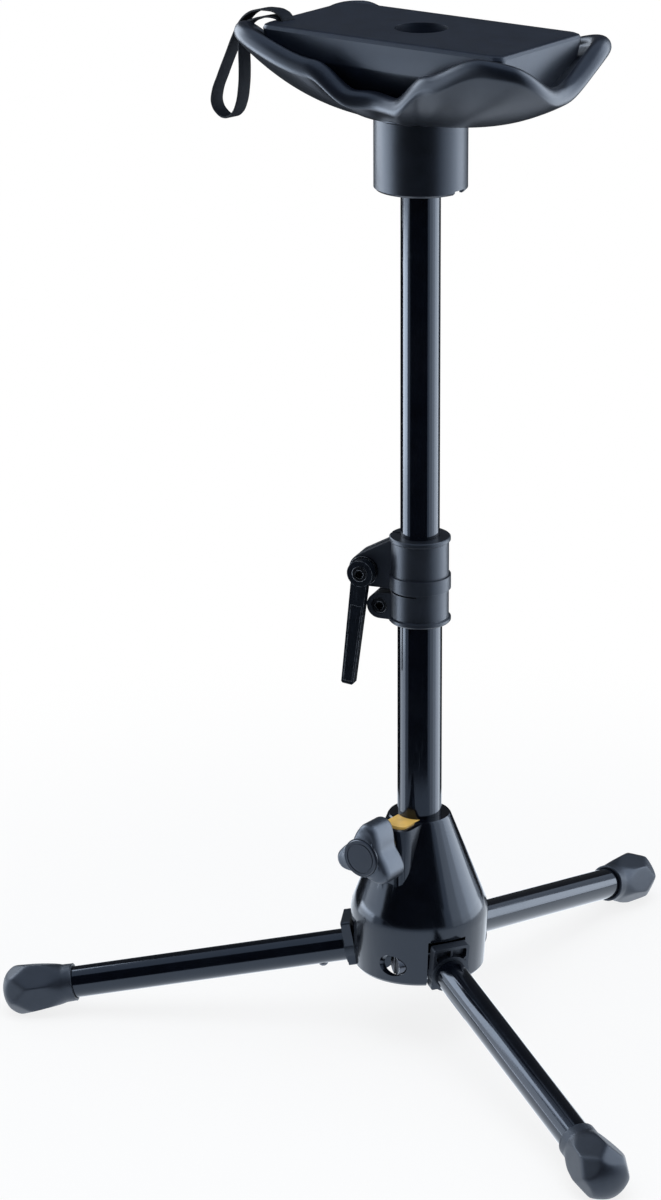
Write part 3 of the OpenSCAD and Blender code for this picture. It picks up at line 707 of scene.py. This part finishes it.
def surface(name: str, rings: Sequence[Sequence[Vector]], closed: bool = False) -> bpy.types.Object:
    """Skins rings of points, with a fan at both ends unless the rings close on themselves.

    Args:
        name: the object's name.
        rings: rings of equal length, in order.
        closed: join the last ring to the first.

    Returns:
        The object, shaded smooth.
    """
    mesh = bpy.data.meshes.new(name)
    build = bmesh.new()
    loops = [[build.verts.new(p) for p in ring] for ring in rings]
    count = len(loops[0])
    for low, high in zip(loops, loops[1:] + (loops[:1] if closed else [])):
        for i in range(count):
            j = (i + 1) % count
            build.faces.new((low[i], low[j], high[j], high[i]))
    for ring in () if closed else (loops[0], loops[-1]):
        middle = build.verts.new(sum((v.co for v in ring), Vector()) / count)
        for i in range(count):
            build.faces.new((ring[i], ring[(i + 1) % count], middle))
    seal(build, mesh, 1e-7)
    return Workshop.object_from(name, mesh)


@dataclass
class Section:
    """A sub-assembly of the stand.

    Attributes:
        shop: what the sub-assemblies share.
        BEVELS: its CAD nodes that are shown as they are, with the width of their rounded edges in millimetres.
    """

    shop: Workshop

    BEVELS: ClassVar[dict[str, float]] = {}

    def build(self) -> None:
        """Dresses the CAD nodes and builds the pieces."""
        for name, bevel in self.BEVELS.items():
            self.shop.finish_node(name, bevel)
        self.pieces()

    def pieces(self) -> None:
        """Builds the sub-assembly's own pieces, where it has any."""


@dataclass
class Base(Section):
    """Hub, knob, screw and shoe.

    Attributes:
        reach, lobe: radius of the knob over its three lobes and of each lobe, in millimetres.
        first_lobe: direction of the first lobe from +X towards +Z, in degrees.
        flat_hollow: how far the flats between the lobes are hollowed, in millimetres.
        bore: radius of the knob's bore and of its screw.
        thread_pitch, thread_crest: pitch of the screw's thread and radius of its ridge.
        around: steps round the knob.
    """

    reach: float = 22.5
    lobe: float = 7.4
    first_lobe: float = 81.0
    flat_hollow: float = 2.0
    bore: float = 4.0
    thread_pitch: float = 1.25
    thread_crest: float = 0.3
    around: int = 240

    BEVELS: ClassVar[dict[str, float]] = {
        "hub_body": 0.5, "knob_nut": 0.25, "leg_pivot_bolts": 0.25, "leg_pivot_nuts": 0.25, "knob_screw": 0.25,
        "clamp_shoe": 0.5, "knob_cap": 0.2,
    }

    def pieces(self) -> None:
        """Builds the knob and the thread."""
        self.knob()
        self.thread()

    def knob(self) -> None:
        """Soft-edged knob with three lobes, the hollow for its cap and its neck."""
        low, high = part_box("star_knob")
        cap_low, cap_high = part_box("knob_cap")
        centre = (cap_low + cap_high) / 2
        turns = [FULL_TURN * i / self.around for i in range(self.around)]
        rings = []
        for y, lobed, inset, radius in self._profile((high.y - low.y) / MM):
            ring = []
            for turn in turns:
                r = ((self._outline(turn) - inset) * lobed + radius * (1 - lobed)) * MM
                ring.append(Vector((centre.x + r * math.cos(turn), low.y + y * MM, centre.z + r * math.sin(turn))))
            rings.append(ring)
        self.shop.add(surface("knob_grip", rings, closed=True), "knob", "soft_grip_black", "star_knob")

    def _outline(self, turn: float) -> float:
        """Radius of the knob's outline in a direction: round lobes, with hollow flats between them."""
        out, third = self.reach - self.lobe, math.radians(60.0)
        off = (turn - math.radians(self.first_lobe) + third) % (2 * third) - third
        side = third - abs(off)
        flat = out / 2 + self.lobe
        touches = math.atan2(out * math.sin(third), flat)
        if side < touches:
            return flat / math.cos(side) - self.flat_hollow * math.cos(side / touches * math.pi / 2) ** 2
        return out * math.cos(off) + math.sqrt(self.lobe**2 - (out * math.sin(off)) ** 2)

    def _profile(self, depth: float) -> list[tuple[float, float, float, float]]:
        """Section of the knob from the bore round its back, flank and face to the cap's hollow.

        Args:
            depth: length of the knob with its neck, in millimetres.

        Returns:
            Distance from the front, share of the lobed outline, its inset, and plain radius.
        """
        hollow, floor, neck, bore_end, chamfer = 12.4, 1.6, 9.0, 8.0, 0.5
        back, front, lead, flatten = 3.6, 5.4, 1.2, 0.75
        body = depth - 3.4
        start = (
            (bore_end, self.bore), (depth, self.bore),
            (depth, neck - chamfer), (depth - chamfer, neck), (body, neck),
        )
        points = [(y, 0.0, 0.0, radius) for y, radius in start]
        for i in range(9):
            a = math.pi / 2 * i / 8
            points.append((body - back + back * math.cos(a), 1.0, back * (1 - math.sin(a)), 0.0))
        for i in range(13):
            a = math.pi / 2 * i / 12
            points.append((lead + front * (1 - math.sin(a)), 1.0, front * (1 - math.cos(a)) * flatten, 0.0))
        for share in (0.75, 0.4, 0.15, 0.04):
            points.append((0.1 + lead * share**1.5, share * 0.8, front * flatten, hollow + 0.7))
        end = (
            (0.0, hollow + chamfer), (chamfer / 2, hollow), (floor, hollow),
            (floor, self.bore / 2), (bore_end, self.bore / 2),
        )
        return points + [(y, 0.0, 0.0, radius) for y, radius in end]

    def thread(self) -> None:
        """Turns of thread on the bare stretch of the knob's screw."""
        low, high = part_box("knob_screw")
        centre = (low + high) / 2
        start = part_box("star_knob")[1].y + 0.2 * MM
        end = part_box("knob_nut")[0].y - 0.2 * MM
        pitch = self.thread_pitch * MM
        group = NodeGroup(
            "thread_turns", Count=max(2, int((end - start) / pitch) + 1), Pitch=pitch, Radius=self.bore * MM,
            Crest=self.thread_crest * MM, Start=(centre.x, start, centre.z), Finish=None,
        )
        tree = group.tree
        row = {
            "Count": group.value("Count"), "Start Location": group.value("Start"),
            "Offset": tree.join(y=group.value("Pitch")),
        }
        line = tree.out("GeometryNodeMeshLine", row, mode="OFFSET")
        turn, crest = (
            tree.out("GeometryNodeCurvePrimitiveCircle", {"Resolution": steps, "Radius": group.value(size)})
            for steps, size in ((48, "Radius"), (8, "Crest"))
        )
        ring = tree.out("GeometryNodeCurveToMesh", {"Curve": turn, "Profile Curve": crest})
        smooth = tree.out("GeometryNodeSetShadeSmooth", {"Geometry": ring})
        turns = {"Points": line, "Instance": smooth, "Rotation": (math.pi / 2, 0.0, 0.0)}
        group.paint(tree.out("GeometryNodeInstanceOnPoints", turns))
        screw = self.shop.run(group, "knob_screw_thread", "bright_steel")
        self.shop.add(screw, "knob", "bright_steel")


@dataclass
class Leg(Section):
    """One folding leg: bracket, tube, screw and rubber foot.

    Attributes:
        turn: which leg.
        pivot: distance of the hinge from the column and its height, in millimetres.
        slope: fall of the leg at rest, in degrees.
        span: length from the hinge to the middle of the foot's round end.
        tube, collar: radius of the tube and wall of the foot's collar.
        collar_length, ball: how far the foot reaches back and on from the end of the span.
        swell, widest: largest radius of the foot, and how far before that end it lies.
        facets, ridge: number of the long facets, and direction of a ridge from the top, in degrees.
        long_depth, tip_depth: where the facets lie, as shares of swell and ball.
        tip_lean: how far the short facets lean inwards, in degrees.
        crispness: power that joins the forms: the higher, the crisper their edges.
        around, rows: steps round the foot and along it.
    """

    turn: Turn
    pivot: tuple[float, float] = (28.0, 61.99)
    slope: float = 11.0
    span: float = 237.36
    tube: float = 10.5
    collar: float = 2.2
    collar_length: float = 32.0
    ball: float = 16.8
    swell: float = 18.4
    widest: float = 3.0
    facets: int = 6
    ridge: float = -10.0
    long_depth: float = 0.845
    tip_depth: float = 0.966
    tip_lean: float = 20.0
    crispness: float = 34.0
    around: int = 144
    rows: int = 72

    def pieces(self) -> None:
        """Dresses the leg's nodes and builds its foot."""
        side = self.turn.name.lower()
        for name, bevel in (("bracket", 0.3), ("tube", 0.0), ("screw", 0.0)):
            self.shop.finish_node(f"leg_{name}_{side}", bevel)
        self.foot(side)

    def foot(self, side: str) -> None:
        """Rubber foot with soft facets: long ones from the collar, short ones between them round the tip."""
        turns = [FULL_TURN * k / self.around for k in range(self.around)]
        start, tip = self.span - self.collar_length, self.span + self.ball
        rings = []
        for i in range(1, self.rows + 1):
            x = tip - (tip - start - 0.6) * (1 - math.cos(math.pi / 2 * i / self.rows))
            rings.append([self._place(x, self._radius(x, turn), turn) for turn in turns])
        outer, bore, seat = self.tube + self.collar, self.tube + 0.02, self.span - 2.9
        mouth = ((start + 0.25, outer - 0.1), (start, outer - 0.5), (start, bore), (seat, bore), (seat, bore * 0.4))
        rings += [[self._place(x, r, turn) for turn in turns] for x, r in mouth]
        name = f"rubber_foot_{side}"
        self.shop.add(surface(f"foot_{side}", rings), f"leg_{side}", self.shop.slots[name], name)

    def _radius(self, x: float, angle: float) -> float:
        """Radius of the foot at a station of the leg and an angle about it, up being 0."""
        start, wide = self.span - self.collar_length, self.span - self.widest
        outer = self.tube + self.collar
        swell_from, facets_from, facet_rise = start + 7.0, start + 5.0, outer + 0.35
        if x <= wide:
            t = max(0.0, (x - swell_from) / (wide - swell_from))
            body = outer + (self.swell - outer) * math.sin(math.pi / 2 * t) ** 1.15
        else:
            t = (x - wide) / (self.span + self.ball - wide)
            body = self.swell * max(0.0, 1.0 - t**2.5) ** 0.45
        step = FULL_TURN / self.facets
        from_ridge = angle - math.radians(self.ridge)
        t = (x - facets_from) / (wide - facets_from)
        long_cut = facet_rise + (self.swell * self.long_depth - facet_rise) * t
        lean = math.radians(self.tip_lean)
        tip_cut = (self.ball * self.tip_depth - (x - self.span) * math.sin(lean)) / math.cos(lean)
        forms = (
            body, long_cut / math.cos(from_ridge % step - step / 2),
            tip_cut / math.cos((from_ridge + step / 2) % step - step / 2),
        )
        return sum(max(form, 0.05) ** -self.crispness for form in forms) ** (-1.0 / self.crispness)

    def _place(self, x: float, r: float, angle: float) -> Vector:
        """World point at a station, radius and angle of the leg, kept above the floor."""
        slope, turn = math.radians(self.slope), math.radians(self.turn.value)
        side, up = r * math.sin(angle), r * math.cos(angle)
        out = self.pivot[0] + x * math.cos(slope) + up * math.sin(slope)
        height = max(0.0, self.pivot[1] - x * math.sin(slope) + up * math.cos(slope))
        east, north = math.cos(turn), math.sin(turn)
        return Vector((out * east + side * north, out * north - side * east, height)) * MM


@dataclass
class Column(Section):
    """The two tubes, the height clamp and its lever."""

    BEVELS: ClassVar[dict[str, float]] = {
        "lower_tube": 0.0, "upper_tube": 0.0, "lower_tube_plug": 0.0, "upper_tube_glide": 0.0,
        "upper_tube_top_plug": 0.0, "clamp_liner": 0.0, "cradle_screw": 0.0, "cradle_washer": 0.0,
        "height_clamp": 0.45, "lever_nut": 0.2, "fixing_nut": 0.2, "fixing_bolt": 0.3,
        "lever_bolt": 0.4, "lever_washer": 0.4, "clamp_lever": 0.8,
    }


@dataclass
class Cradle(Section):
    """The socket and the moulded dish, whose form follows one rule all the way round.

    Attributes:
        length, width: size of the dish over its rim, in millimetres, as all sizes here are.
        depth, seat, floor: depth below the lobes' tops of the underside, the face on the socket and the inside.
        long_dip, short_dip: fall of the rim in the middle of the long and of the short sides.
        bead: radius of the rim's roll.
        socket, pad, hole: radii of the face on the socket, of the flat inside and of the screw hole.
        squareness: power of the plan, where 2 is an ellipse.
        long_waist, short_waist: shares by which the sides are drawn in.
        lobe_at, lobe_shift: distance of the lobes' tops from the middle, and how much nearer two of them are.
        dip_shift: distance of the short sides' dips from the middle of the side.
        around, rows: steps round the dish and along its section.
    """

    length: float = 227.0
    width: float = 122.0
    depth: float = 57.0
    seat: float = 54.5
    floor: float = 48.0
    long_dip: float = 31.5
    short_dip: float = 22.0
    bead: float = 6.3
    socket: float = 29.2
    pad: float = 11.5
    hole: float = 3.5
    squareness: float = 5.6
    long_waist: float = 0.17
    short_waist: float = 0.025
    lobe_at: float = 112.0
    lobe_shift: float = 24.0
    dip_shift: float = 8.0
    around: int = 288
    rows: int = 132

    BEVELS: ClassVar[dict[str, float]] = {"cradle_socket": 0.5}

    # Shares of the rows at which the section passes to its next surface.
    RIM_OF_SEAT: ClassVar[float] = 0.048
    UNDERSIDE: ClassVar[float] = 0.06
    ROLL: ClassVar[float] = 0.36
    INSIDE: ClassVar[float] = 0.56
    PAD: ClassVar[float] = 0.95
    HOLE_TOP: ClassVar[float] = 0.985
    HOLE_WALL: ClassVar[float] = 0.992

    def pieces(self) -> None:
        """Smooth dish over the same rule as its solid, in a geometry node tree."""
        group = NodeGroup(
            "cradle_rule", Length=self.length * MM, Width=self.width * MM, Depth=self.depth * MM,
            LongDip=self.long_dip * MM, ShortDip=self.short_dip * MM, Bead=self.bead * MM,
            Top=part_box("cradle_dish")[1].z, Finish=None,
        )
        tree = group.tree
        sizes = {"Size X": 1.0, "Size Y": 1.0, "Vertices X": self.around + 1, "Vertices Y": self.rows + 1}
        grid = tree.out("GeometryNodeMeshGrid", sizes)
        across, along, _ = tree.split(tree.out("GeometryNodeInputPosition"))
        point = self._rule(group, (across + 0.5) * FULL_TURN, along + 0.5)
        moved = tree.out("GeometryNodeSetPosition", {"Geometry": grid, "Position": point})
        group.paint(tree.out("GeometryNodeMergeByDistance", {"Geometry": moved, "Distance": 2e-6}))
        dish = self.shop.run(group, "cradle_shell", "satin_black_plastic")
        outward(dish)
        self.shop.soften.put_on(dish, Angle=math.radians(34.0))
        self.shop.add(dish, "cradle", "satin_black_plastic", "cradle_dish")

    def _plan(self, group: NodeGroup, cos: Wire, sin: Wire) -> Wire:
        """Distance of the rim's outer edge from the axis: a rounded oblong with drawn-in sides."""
        c = abs(cos) / (group.value("Length") * 0.5)
        s = abs(sin) / (group.value("Width") * 0.5)
        waist = 1.0 - abs(sin) ** 10.0 * self.long_waist - abs(cos) ** 14.0 * self.short_waist
        return (c**self.squareness + s**self.squareness) ** (-1 / self.squareness) * waist

    def _rim(self, group: NodeGroup, plan: Wire, cos: Wire, sin: Wire) -> Wire:
        """Height of the rim from the top of the lobes: four lobes, and a dip in every side."""
        x = abs(plan * cos) * (self.length * MM) / group.value("Length")
        shift = (cos * 3.0).at_least(-1.0).at_most(1.0) * (self.dip_shift * MM)
        y = abs(plan * sin * (self.width * MM) / group.value("Width") + shift)
        diagonal = (cos * sin * -4.0).at_least(0.0).at_most(1.0)
        far = self.lobe_at * MM - diagonal * (self.lobe_shift * MM)
        long_side = 1.0 - x.ramp(16 * MM, 46 * MM) * 0.52 - x.ramp(42 * MM, far) * 0.48
        short_side = 1.0 - y.ramp(2 * MM, 56 * MM)
        return -(group.value("LongDip") * long_side) - group.value("ShortDip") * short_side

    def _rule(self, group: NodeGroup, around: Wire, row: Wire) -> Socket:
        """Point of the dish for a turn about its axis and a row from its underside to its inside.

        Args:
            group: the group whose inputs hold the sizes.
            around: the turn, in radians.
            row: 0 at the screw hole below, 1 back at the hole above.

        Returns:
            The point, in the frame of the CAD.
        """
        bead, depth = group.value("Bead"), group.value("Depth")
        seat, floor, socket, pad, hole = (
            size * MM for size in (self.seat, self.floor, self.socket, self.pad, self.hole)
        )
        angle = (group.value("Width") * around.sin()).atan2(group.value("Length") * around.cos())
        cos, sin = angle.cos(), angle.sin()
        plan = self._plan(group, cos, sin)
        rim = self._rim(group, plan, cos, sin)
        roll = row.share(self.ROLL, self.INSIDE) * (1.25 * math.pi) - 0.25 * math.pi
        edge, edge_z = plan - bead + bead * roll.cos(), rim - bead + bead * roll.sin()
        out = (edge - socket) * row.share(self.UNDERSIDE, self.ROLL) + socket
        z = -depth + (edge_z + depth) * (out / edge) ** 2.5
        lip = plan - bead * 2.0
        inner = (lip - pad) * (1.0 - row.share(self.INSIDE, self.PAD)) + pad
        inner_z = -floor + (rim - bead + floor) * (inner / lip) ** 2.6
        inside = row.above(self.INSIDE)
        out, z = out.blend(inner, inside), z.blend(inner_z, inside)
        on_seat = 1.0 - row.above(self.UNDERSIDE)
        out = out.blend(row.share(0.0, self.RIM_OF_SEAT) * (socket - hole) + hole, on_seat)
        z = z.blend(row.share(self.RIM_OF_SEAT, self.UNDERSIDE) * (z + seat) - seat, on_seat)
        on_pad = row.above(self.PAD)
        out = out.blend((1.0 - row.share(self.PAD, self.HOLE_TOP)) * (pad - hole) + hole, on_pad)
        z = z.blend(row.above(self.HOLE_WALL) * (floor - seat) - floor, on_pad)
        return group.tree.join(out * cos, out * sin, z + group.value("Top"))


@dataclass
class Insert(Section):
    """The lift-out block and its pull strap.

    Attributes:
        strap_width, strap_thick: section of the tape, in millimetres.
        slot_x, strap_y: place of its slot, towards -X and along Y.
        strap_turn: turn of the strap about the slot, in degrees.
        top: height of the block's top.
        steps: points along the tape.
        path: points of the closed path, outwards and up from the slot in the block's top.
    """

    strap_width: float = 10.0
    strap_thick: float = 1.2
    strap_y: float = -28.0
    strap_turn: float = 8.7
    slot_x: float = 82.0
    top: float = 667.5
    steps: int = 420
    path: tuple[tuple[float, float], ...] = (
        (2.3, -7.6), (2.3, -2), (1, 2), (-4, 4.6), (-13, 5), (-22, 3.6), (-29.5, 0.4), (-36, -5.4),
        (-41.4, -13.5), (-48.5, -27), (-56, -41.5), (-61.6, -54), (-62, -60.5), (-58, -65.6), (-50.5, -67.8),
        (-44, -64.5), (-40, -58), (-37.4, -47), (-36.6, -36), (-36.8, -25), (-36.6, -16), (-35, -9.6),
        (-31, -5.4), (-24, -2.2), (-16, 0.2), (-9.4, 1.2), (-4.4, 1.05), (-3.0, 0.8), (-2.3, -0.8),
        (-2.3, -7.6), (-1.6, -9.2), (0, -9.9), (1.6, -9.2),
    )

    def pieces(self) -> None:
        """Dresses the block and its anchor pin, and builds the strap."""
        self.shop.finish_node("insert_block", 0.9, 44.0)
        self.shop.finish_node("strap_anchor")
        self.strap()

    def _curve(self, turn: float) -> bpy.types.Curve:
        """Closed curve through the points of the path."""
        curve = bpy.data.curves.new("strap_path", "CURVE")
        curve.dimensions = "3D"
        spline = curve.splines.new("BEZIER")
        spline.bezier_points.add(len(self.path) - 1)
        for point, (x, z) in zip(spline.bezier_points, self.path):
            place = (x * math.cos(turn) - self.slot_x, self.strap_y - x * math.sin(turn), z + self.top)
            point.co = [c * MM for c in place]
            point.handle_left_type = point.handle_right_type = "AUTO"
        spline.use_cyclic_u = True
        return curve

    def strap(self) -> None:
        """Woven tape swept along its path by a geometry node tree, with the weave's UV map."""
        turn = math.radians(self.strap_turn)
        group = NodeGroup(
            "tape_sweep", Width=self.strap_width * MM, Thickness=self.strap_thick * MM,
            Steps=self.steps, Finish=None,
        )
        tree = group.tree
        width, thick, steps = (group.value(name) for name in ("Width", "Thickness", "Steps"))
        even = tree.out("GeometryNodeResampleCurve", {"Curve": group.source[0], "Count": steps}, mode="COUNT")
        facing = {"Curve": even, "Normal": (math.sin(turn), math.cos(turn), 0.0)}
        flat = tree.out("GeometryNodeSetCurveNormal", facing, mode="FREE")
        section = tree.out(
            "GeometryNodeCurvePrimitiveQuadrilateral", {"Width": width, "Height": thick}, mode="RECTANGLE"
        )
        corners = {"Curve": section, "Count": 3, "Radius": 0.35 * MM}
        rounded = tree.out("GeometryNodeFilletCurve", corners, mode="POLY")
        line, along = tree.keep(flat, "along", tree.out("GeometryNodeSplineParameter", output="Length"))
        place = tree.split(tree.out("GeometryNodeInputPosition"))
        profile, across = tree.keep(rounded, "across", place[0].socket)
        swept = tree.out("GeometryNodeCurveToMesh", {"Curve": line, "Profile Curve": profile})
        mapped = {"Geometry": swept, "Name": TAPE_MAP, "Value": tree.join(along, across / width + 0.5)}
        named = tree.out("GeometryNodeStoreNamedAttribute", mapped, data_type="FLOAT2", domain="CORNER")
        group.paint(tree.out("GeometryNodeSetShadeSmooth", {"Geometry": named}))
        tape = self.shop.run(group, "strap_webbing", "black_webbing", self._curve(turn))
        outward(tape)
        self.shop.add(tape, "insert", "black_webbing", "pull_strap")


@dataclass(frozen=True)
class Card:
    """Part of a ring of card or panel round the stand, seen only in reflections.

    Attributes:
        name: the card's name.
        start, end: where it begins and ends, in degrees to the right of the camera.
        near, far: distances of its two edges from the column, in metres.
        glow: its level, where 1 is white.
        low, high: heights of its two edges.
    """

    name: str
    start: float
    end: float
    near: float
    far: float
    glow: float
    low: float = 0.0005
    high: float = 0.0005

    COLOUR: ClassVar[tuple[float, float, float, float]] = (0.84, 0.91, 1.0, 1.0)
    STEP: ClassVar[float] = 6.0

    def finish(self) -> bpy.types.Material:
        """Plain emission of the card's level."""
        material = bpy.data.materials.new(self.name)
        tree = Tree.of(material)
        glow = tree.out("ShaderNodeEmission", {"Color": self.COLOUR, "Strength": self.glow})
        tree.node("ShaderNodeOutputMaterial", None, {"Surface": glow})
        return material

    def mesh(self, heading: float) -> bpy.types.Mesh:
        """Strip of the ring.

        Args:
            heading: the camera's heading, in degrees.

        Returns:
            The mesh, with its material.
        """
        mesh = bpy.data.meshes.new(self.name)
        count = max(2, int((self.end - self.start) / self.STEP) + 1)
        points = []
        for reach, height in ((self.near, self.low), (self.far, self.high)):
            for i in range(count + 1):
                turn = math.radians(heading - 90.0 + self.start + (self.end - self.start) * i / count)
                points.append((reach * math.cos(turn), reach * math.sin(turn), height))
        mesh.from_pydata(points, [], [(i, i + 1, count + 2 + i, count + 1 + i) for i in range(count)])
        mesh.materials.append(self.finish())
        return mesh


@dataclass
class Studio:
    """Floor, world, lamp, cards and camera.

    Attributes:
        lens: focal length of the camera on a 36 mm sensor, in millimetres.
        camera_at: place of the camera, in metres.
        pitch, heading: the camera's turns from straight down and from +Y, in degrees.
        centre_x: column of the photo that the lens axis meets, in pixels.
        cool: the background in reflections.
    """

    lens: float = 120.9
    camera_at: tuple[float, float, float] = (1.3927, -1.986, 1.1464)
    pitch: float = 70.75
    heading: float = 35.4
    centre_x: float = 396.0
    cool: Colour = (0.74, 0.86, 1.04)

    CARDS: ClassVar[tuple[Card, ...]] = (
        Card("front_floor_black", -62, 42, 0.46, 2.0, 0.012),
        Card("front_wall_black", -68, 42, 2.0, 1.9, 0.012, high=2.5),
        Card("rear_floor_black", 136, 240, 0.42, 2.4, 0.02),
        Card("rear_wall_black", 146, 222, 2.4, 2.0, 0.08, high=3.2),
        *(Card(f"left_floor_{row}", -118, -80, *rest)
          for row, *rest in (("near", 0.36, 0.75, 3.6), ("mid", 0.75, 1.25, 7.0), ("far", 1.25, 2.2, 10.0))),
        Card("left_wall_soft", -112, -68, 2.2, 2.2, 3.0, high=1.3),
        Card("near_floor_glow", -180, 180, 0.02, 0.34, 1.7, 0.0004, 0.0004),
        Card("rear_left_panel", -152, -124, 2.0, 2.0, 3.6, 0.42, 1.3),
        Card("left_high_panel", -134, -104, 0.9, 0.9, 7.0, 0.36, 1.15),
        Card("right_floor_soft", 54, 72, 0.38, 1.05, 1.9),
        Card("right_floor_mid", 72, 90, 0.38, 1.05, 3.0),
        Card("right_floor_bright", 90, 128, 0.38, 1.05, 4.6),
        Card("right_panel_soft", 54, 72, 1.05, 1.05, 2.2, high=1.9),
        Card("right_panel_mid", 72, 90, 1.05, 1.05, 3.4, high=1.9),
        Card("right_panel_bright", 90, 126, 1.05, 1.05, 5.2, high=1.9),
    )

    def build(self) -> None:
        """Makes the whole set."""
        for make in (self.camera, self.world, self.floor, self.key, self.cards):
            make()

    def camera(self) -> None:
        """Camera fitted to the photograph."""
        data = bpy.data.cameras.new("camera")
        data.sensor_width = 36.0
        data.lens = self.lens
        data.shift_x = (PHOTO_SIZE[0] / 2 - self.centre_x) / max(PHOTO_SIZE)
        data.clip_start, data.clip_end = 0.05, 50.0
        camera = Workshop.object_from("camera", data)
        camera.location = self.camera_at
        camera.rotation_euler = (math.radians(self.pitch), 0.0, math.radians(self.heading))
        bpy.context.scene.camera = camera

    @staticmethod
    def _seen(tree: Tree) -> Wire:
        """1 for camera, glossy and transmission rays, which see the white background."""
        path = tree.node("ShaderNodeLightPath").outputs
        kinds = ("Camera", "Glossy", "Transmission")
        camera, glossy, clear = (Wire(tree, path[f"Is {kind} Ray"]) for kind in kinds)
        return camera.at_least(glossy).at_least(clear)

    def _white(self, tree: Tree) -> Socket:
        """White of the background, a little cool where a reflection shows it."""
        return tree.mix_colour(tree.out("ShaderNodeLightPath", output="Is Glossy Ray"), WHITE, self.cool)

    def world(self) -> None:
        """World at a plain level, white where the camera or a reflection sees it."""
        world = bpy.data.worlds.new("studio")
        bpy.context.scene.world = world
        tree = Tree.of(world)
        soft = tree.out("ShaderNodeBackground", {"Color": (0.9, 0.94, 1.0, 1.0), "Strength": 0.55})
        white = tree.out("ShaderNodeBackground", {"Color": self._white(tree), "Strength": 1.0})
        mix = tree.out("ShaderNodeMixShader", {0: self._seen(tree), 1: soft, 2: white})
        tree.node("ShaderNodeOutputWorld", None, {0: mix})
        bpy.context.scene.view_settings.view_transform = "Standard"

    def floor(self) -> None:
        """Pale floor, plain white far out, that keeps a faint shadow close to the stand."""
        material = bpy.data.materials.new("pale_floor")
        tree = Tree.of(material)
        matt = tree.out("ShaderNodeBsdfDiffuse", {"Color": (0.93, 0.94, 0.95, 1.0)})
        glow = tree.out("ShaderNodeEmission", {"Color": self._white(tree), "Strength": 1.0})
        share = tree.measure("LENGTH", tree.place()).ramp(0.3, 0.75) * 0.18 + 0.82
        mix = tree.out("ShaderNodeMixShader", {0: self._seen(tree) * share, 1: matt, 2: glow})
        tree.node("ShaderNodeOutputMaterial", None, {"Surface": mix})
        mesh = bpy.data.meshes.new("floor")
        half, drop = 9, -0.0003
        corners = [(-half, -half, drop), (half, -half, drop), (half, half, drop), (-half, half, drop)]
        mesh.from_pydata(corners, [], [(0, 1, 2, 3)])
        mesh.materials.append(material)
        Workshop.object_from("floor", mesh)

    def key(self) -> None:
        """Large soft box overhead, at a plain level."""
        data = bpy.data.lights.new("key_top", "AREA")
        data.shape = "RECTANGLE"
        data.size, data.size_y = 2.2, 2.2
        data.energy = 38.0
        data.color = (0.94, 0.97, 1.0)
        lamp = Workshop.object_from("key_top", data)
        lamp.location = (0.3, -0.6, 2.6)
        lamp.rotation_euler = (Vector((0.0, 0.0, 0.3)) - lamp.location).to_track_quat("-Z", "Y").to_euler()
        lamp.visible_camera = lamp.visible_glossy = False

    def cards(self) -> None:
        """Black cards and glowing panels that stand round the stand for its reflections alone."""
        for card in self.CARDS:
            obj = Workshop.object_from(card.name, card.mesh(self.heading))
            obj.visible_camera = obj.visible_diffuse = obj.visible_shadow = obj.visible_transmission = False


def main() -> None:
    """Builds every sub-assembly around the frame, and the studio."""
    logging.basicConfig(level=logging.INFO, format="%(name)s: %(message)s")
    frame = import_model()
    Studio().build()
    shop = Workshop(frame)
    for section in (Base(shop), *(Leg(shop, turn) for turn in Turn), Column(shop), Cradle(shop), Insert(shop)):
        section.build()
        LOG.info("built %s", type(section).__name__)
    bpy.context.view_layer.update()


if __name__ == "__main__":
    main()
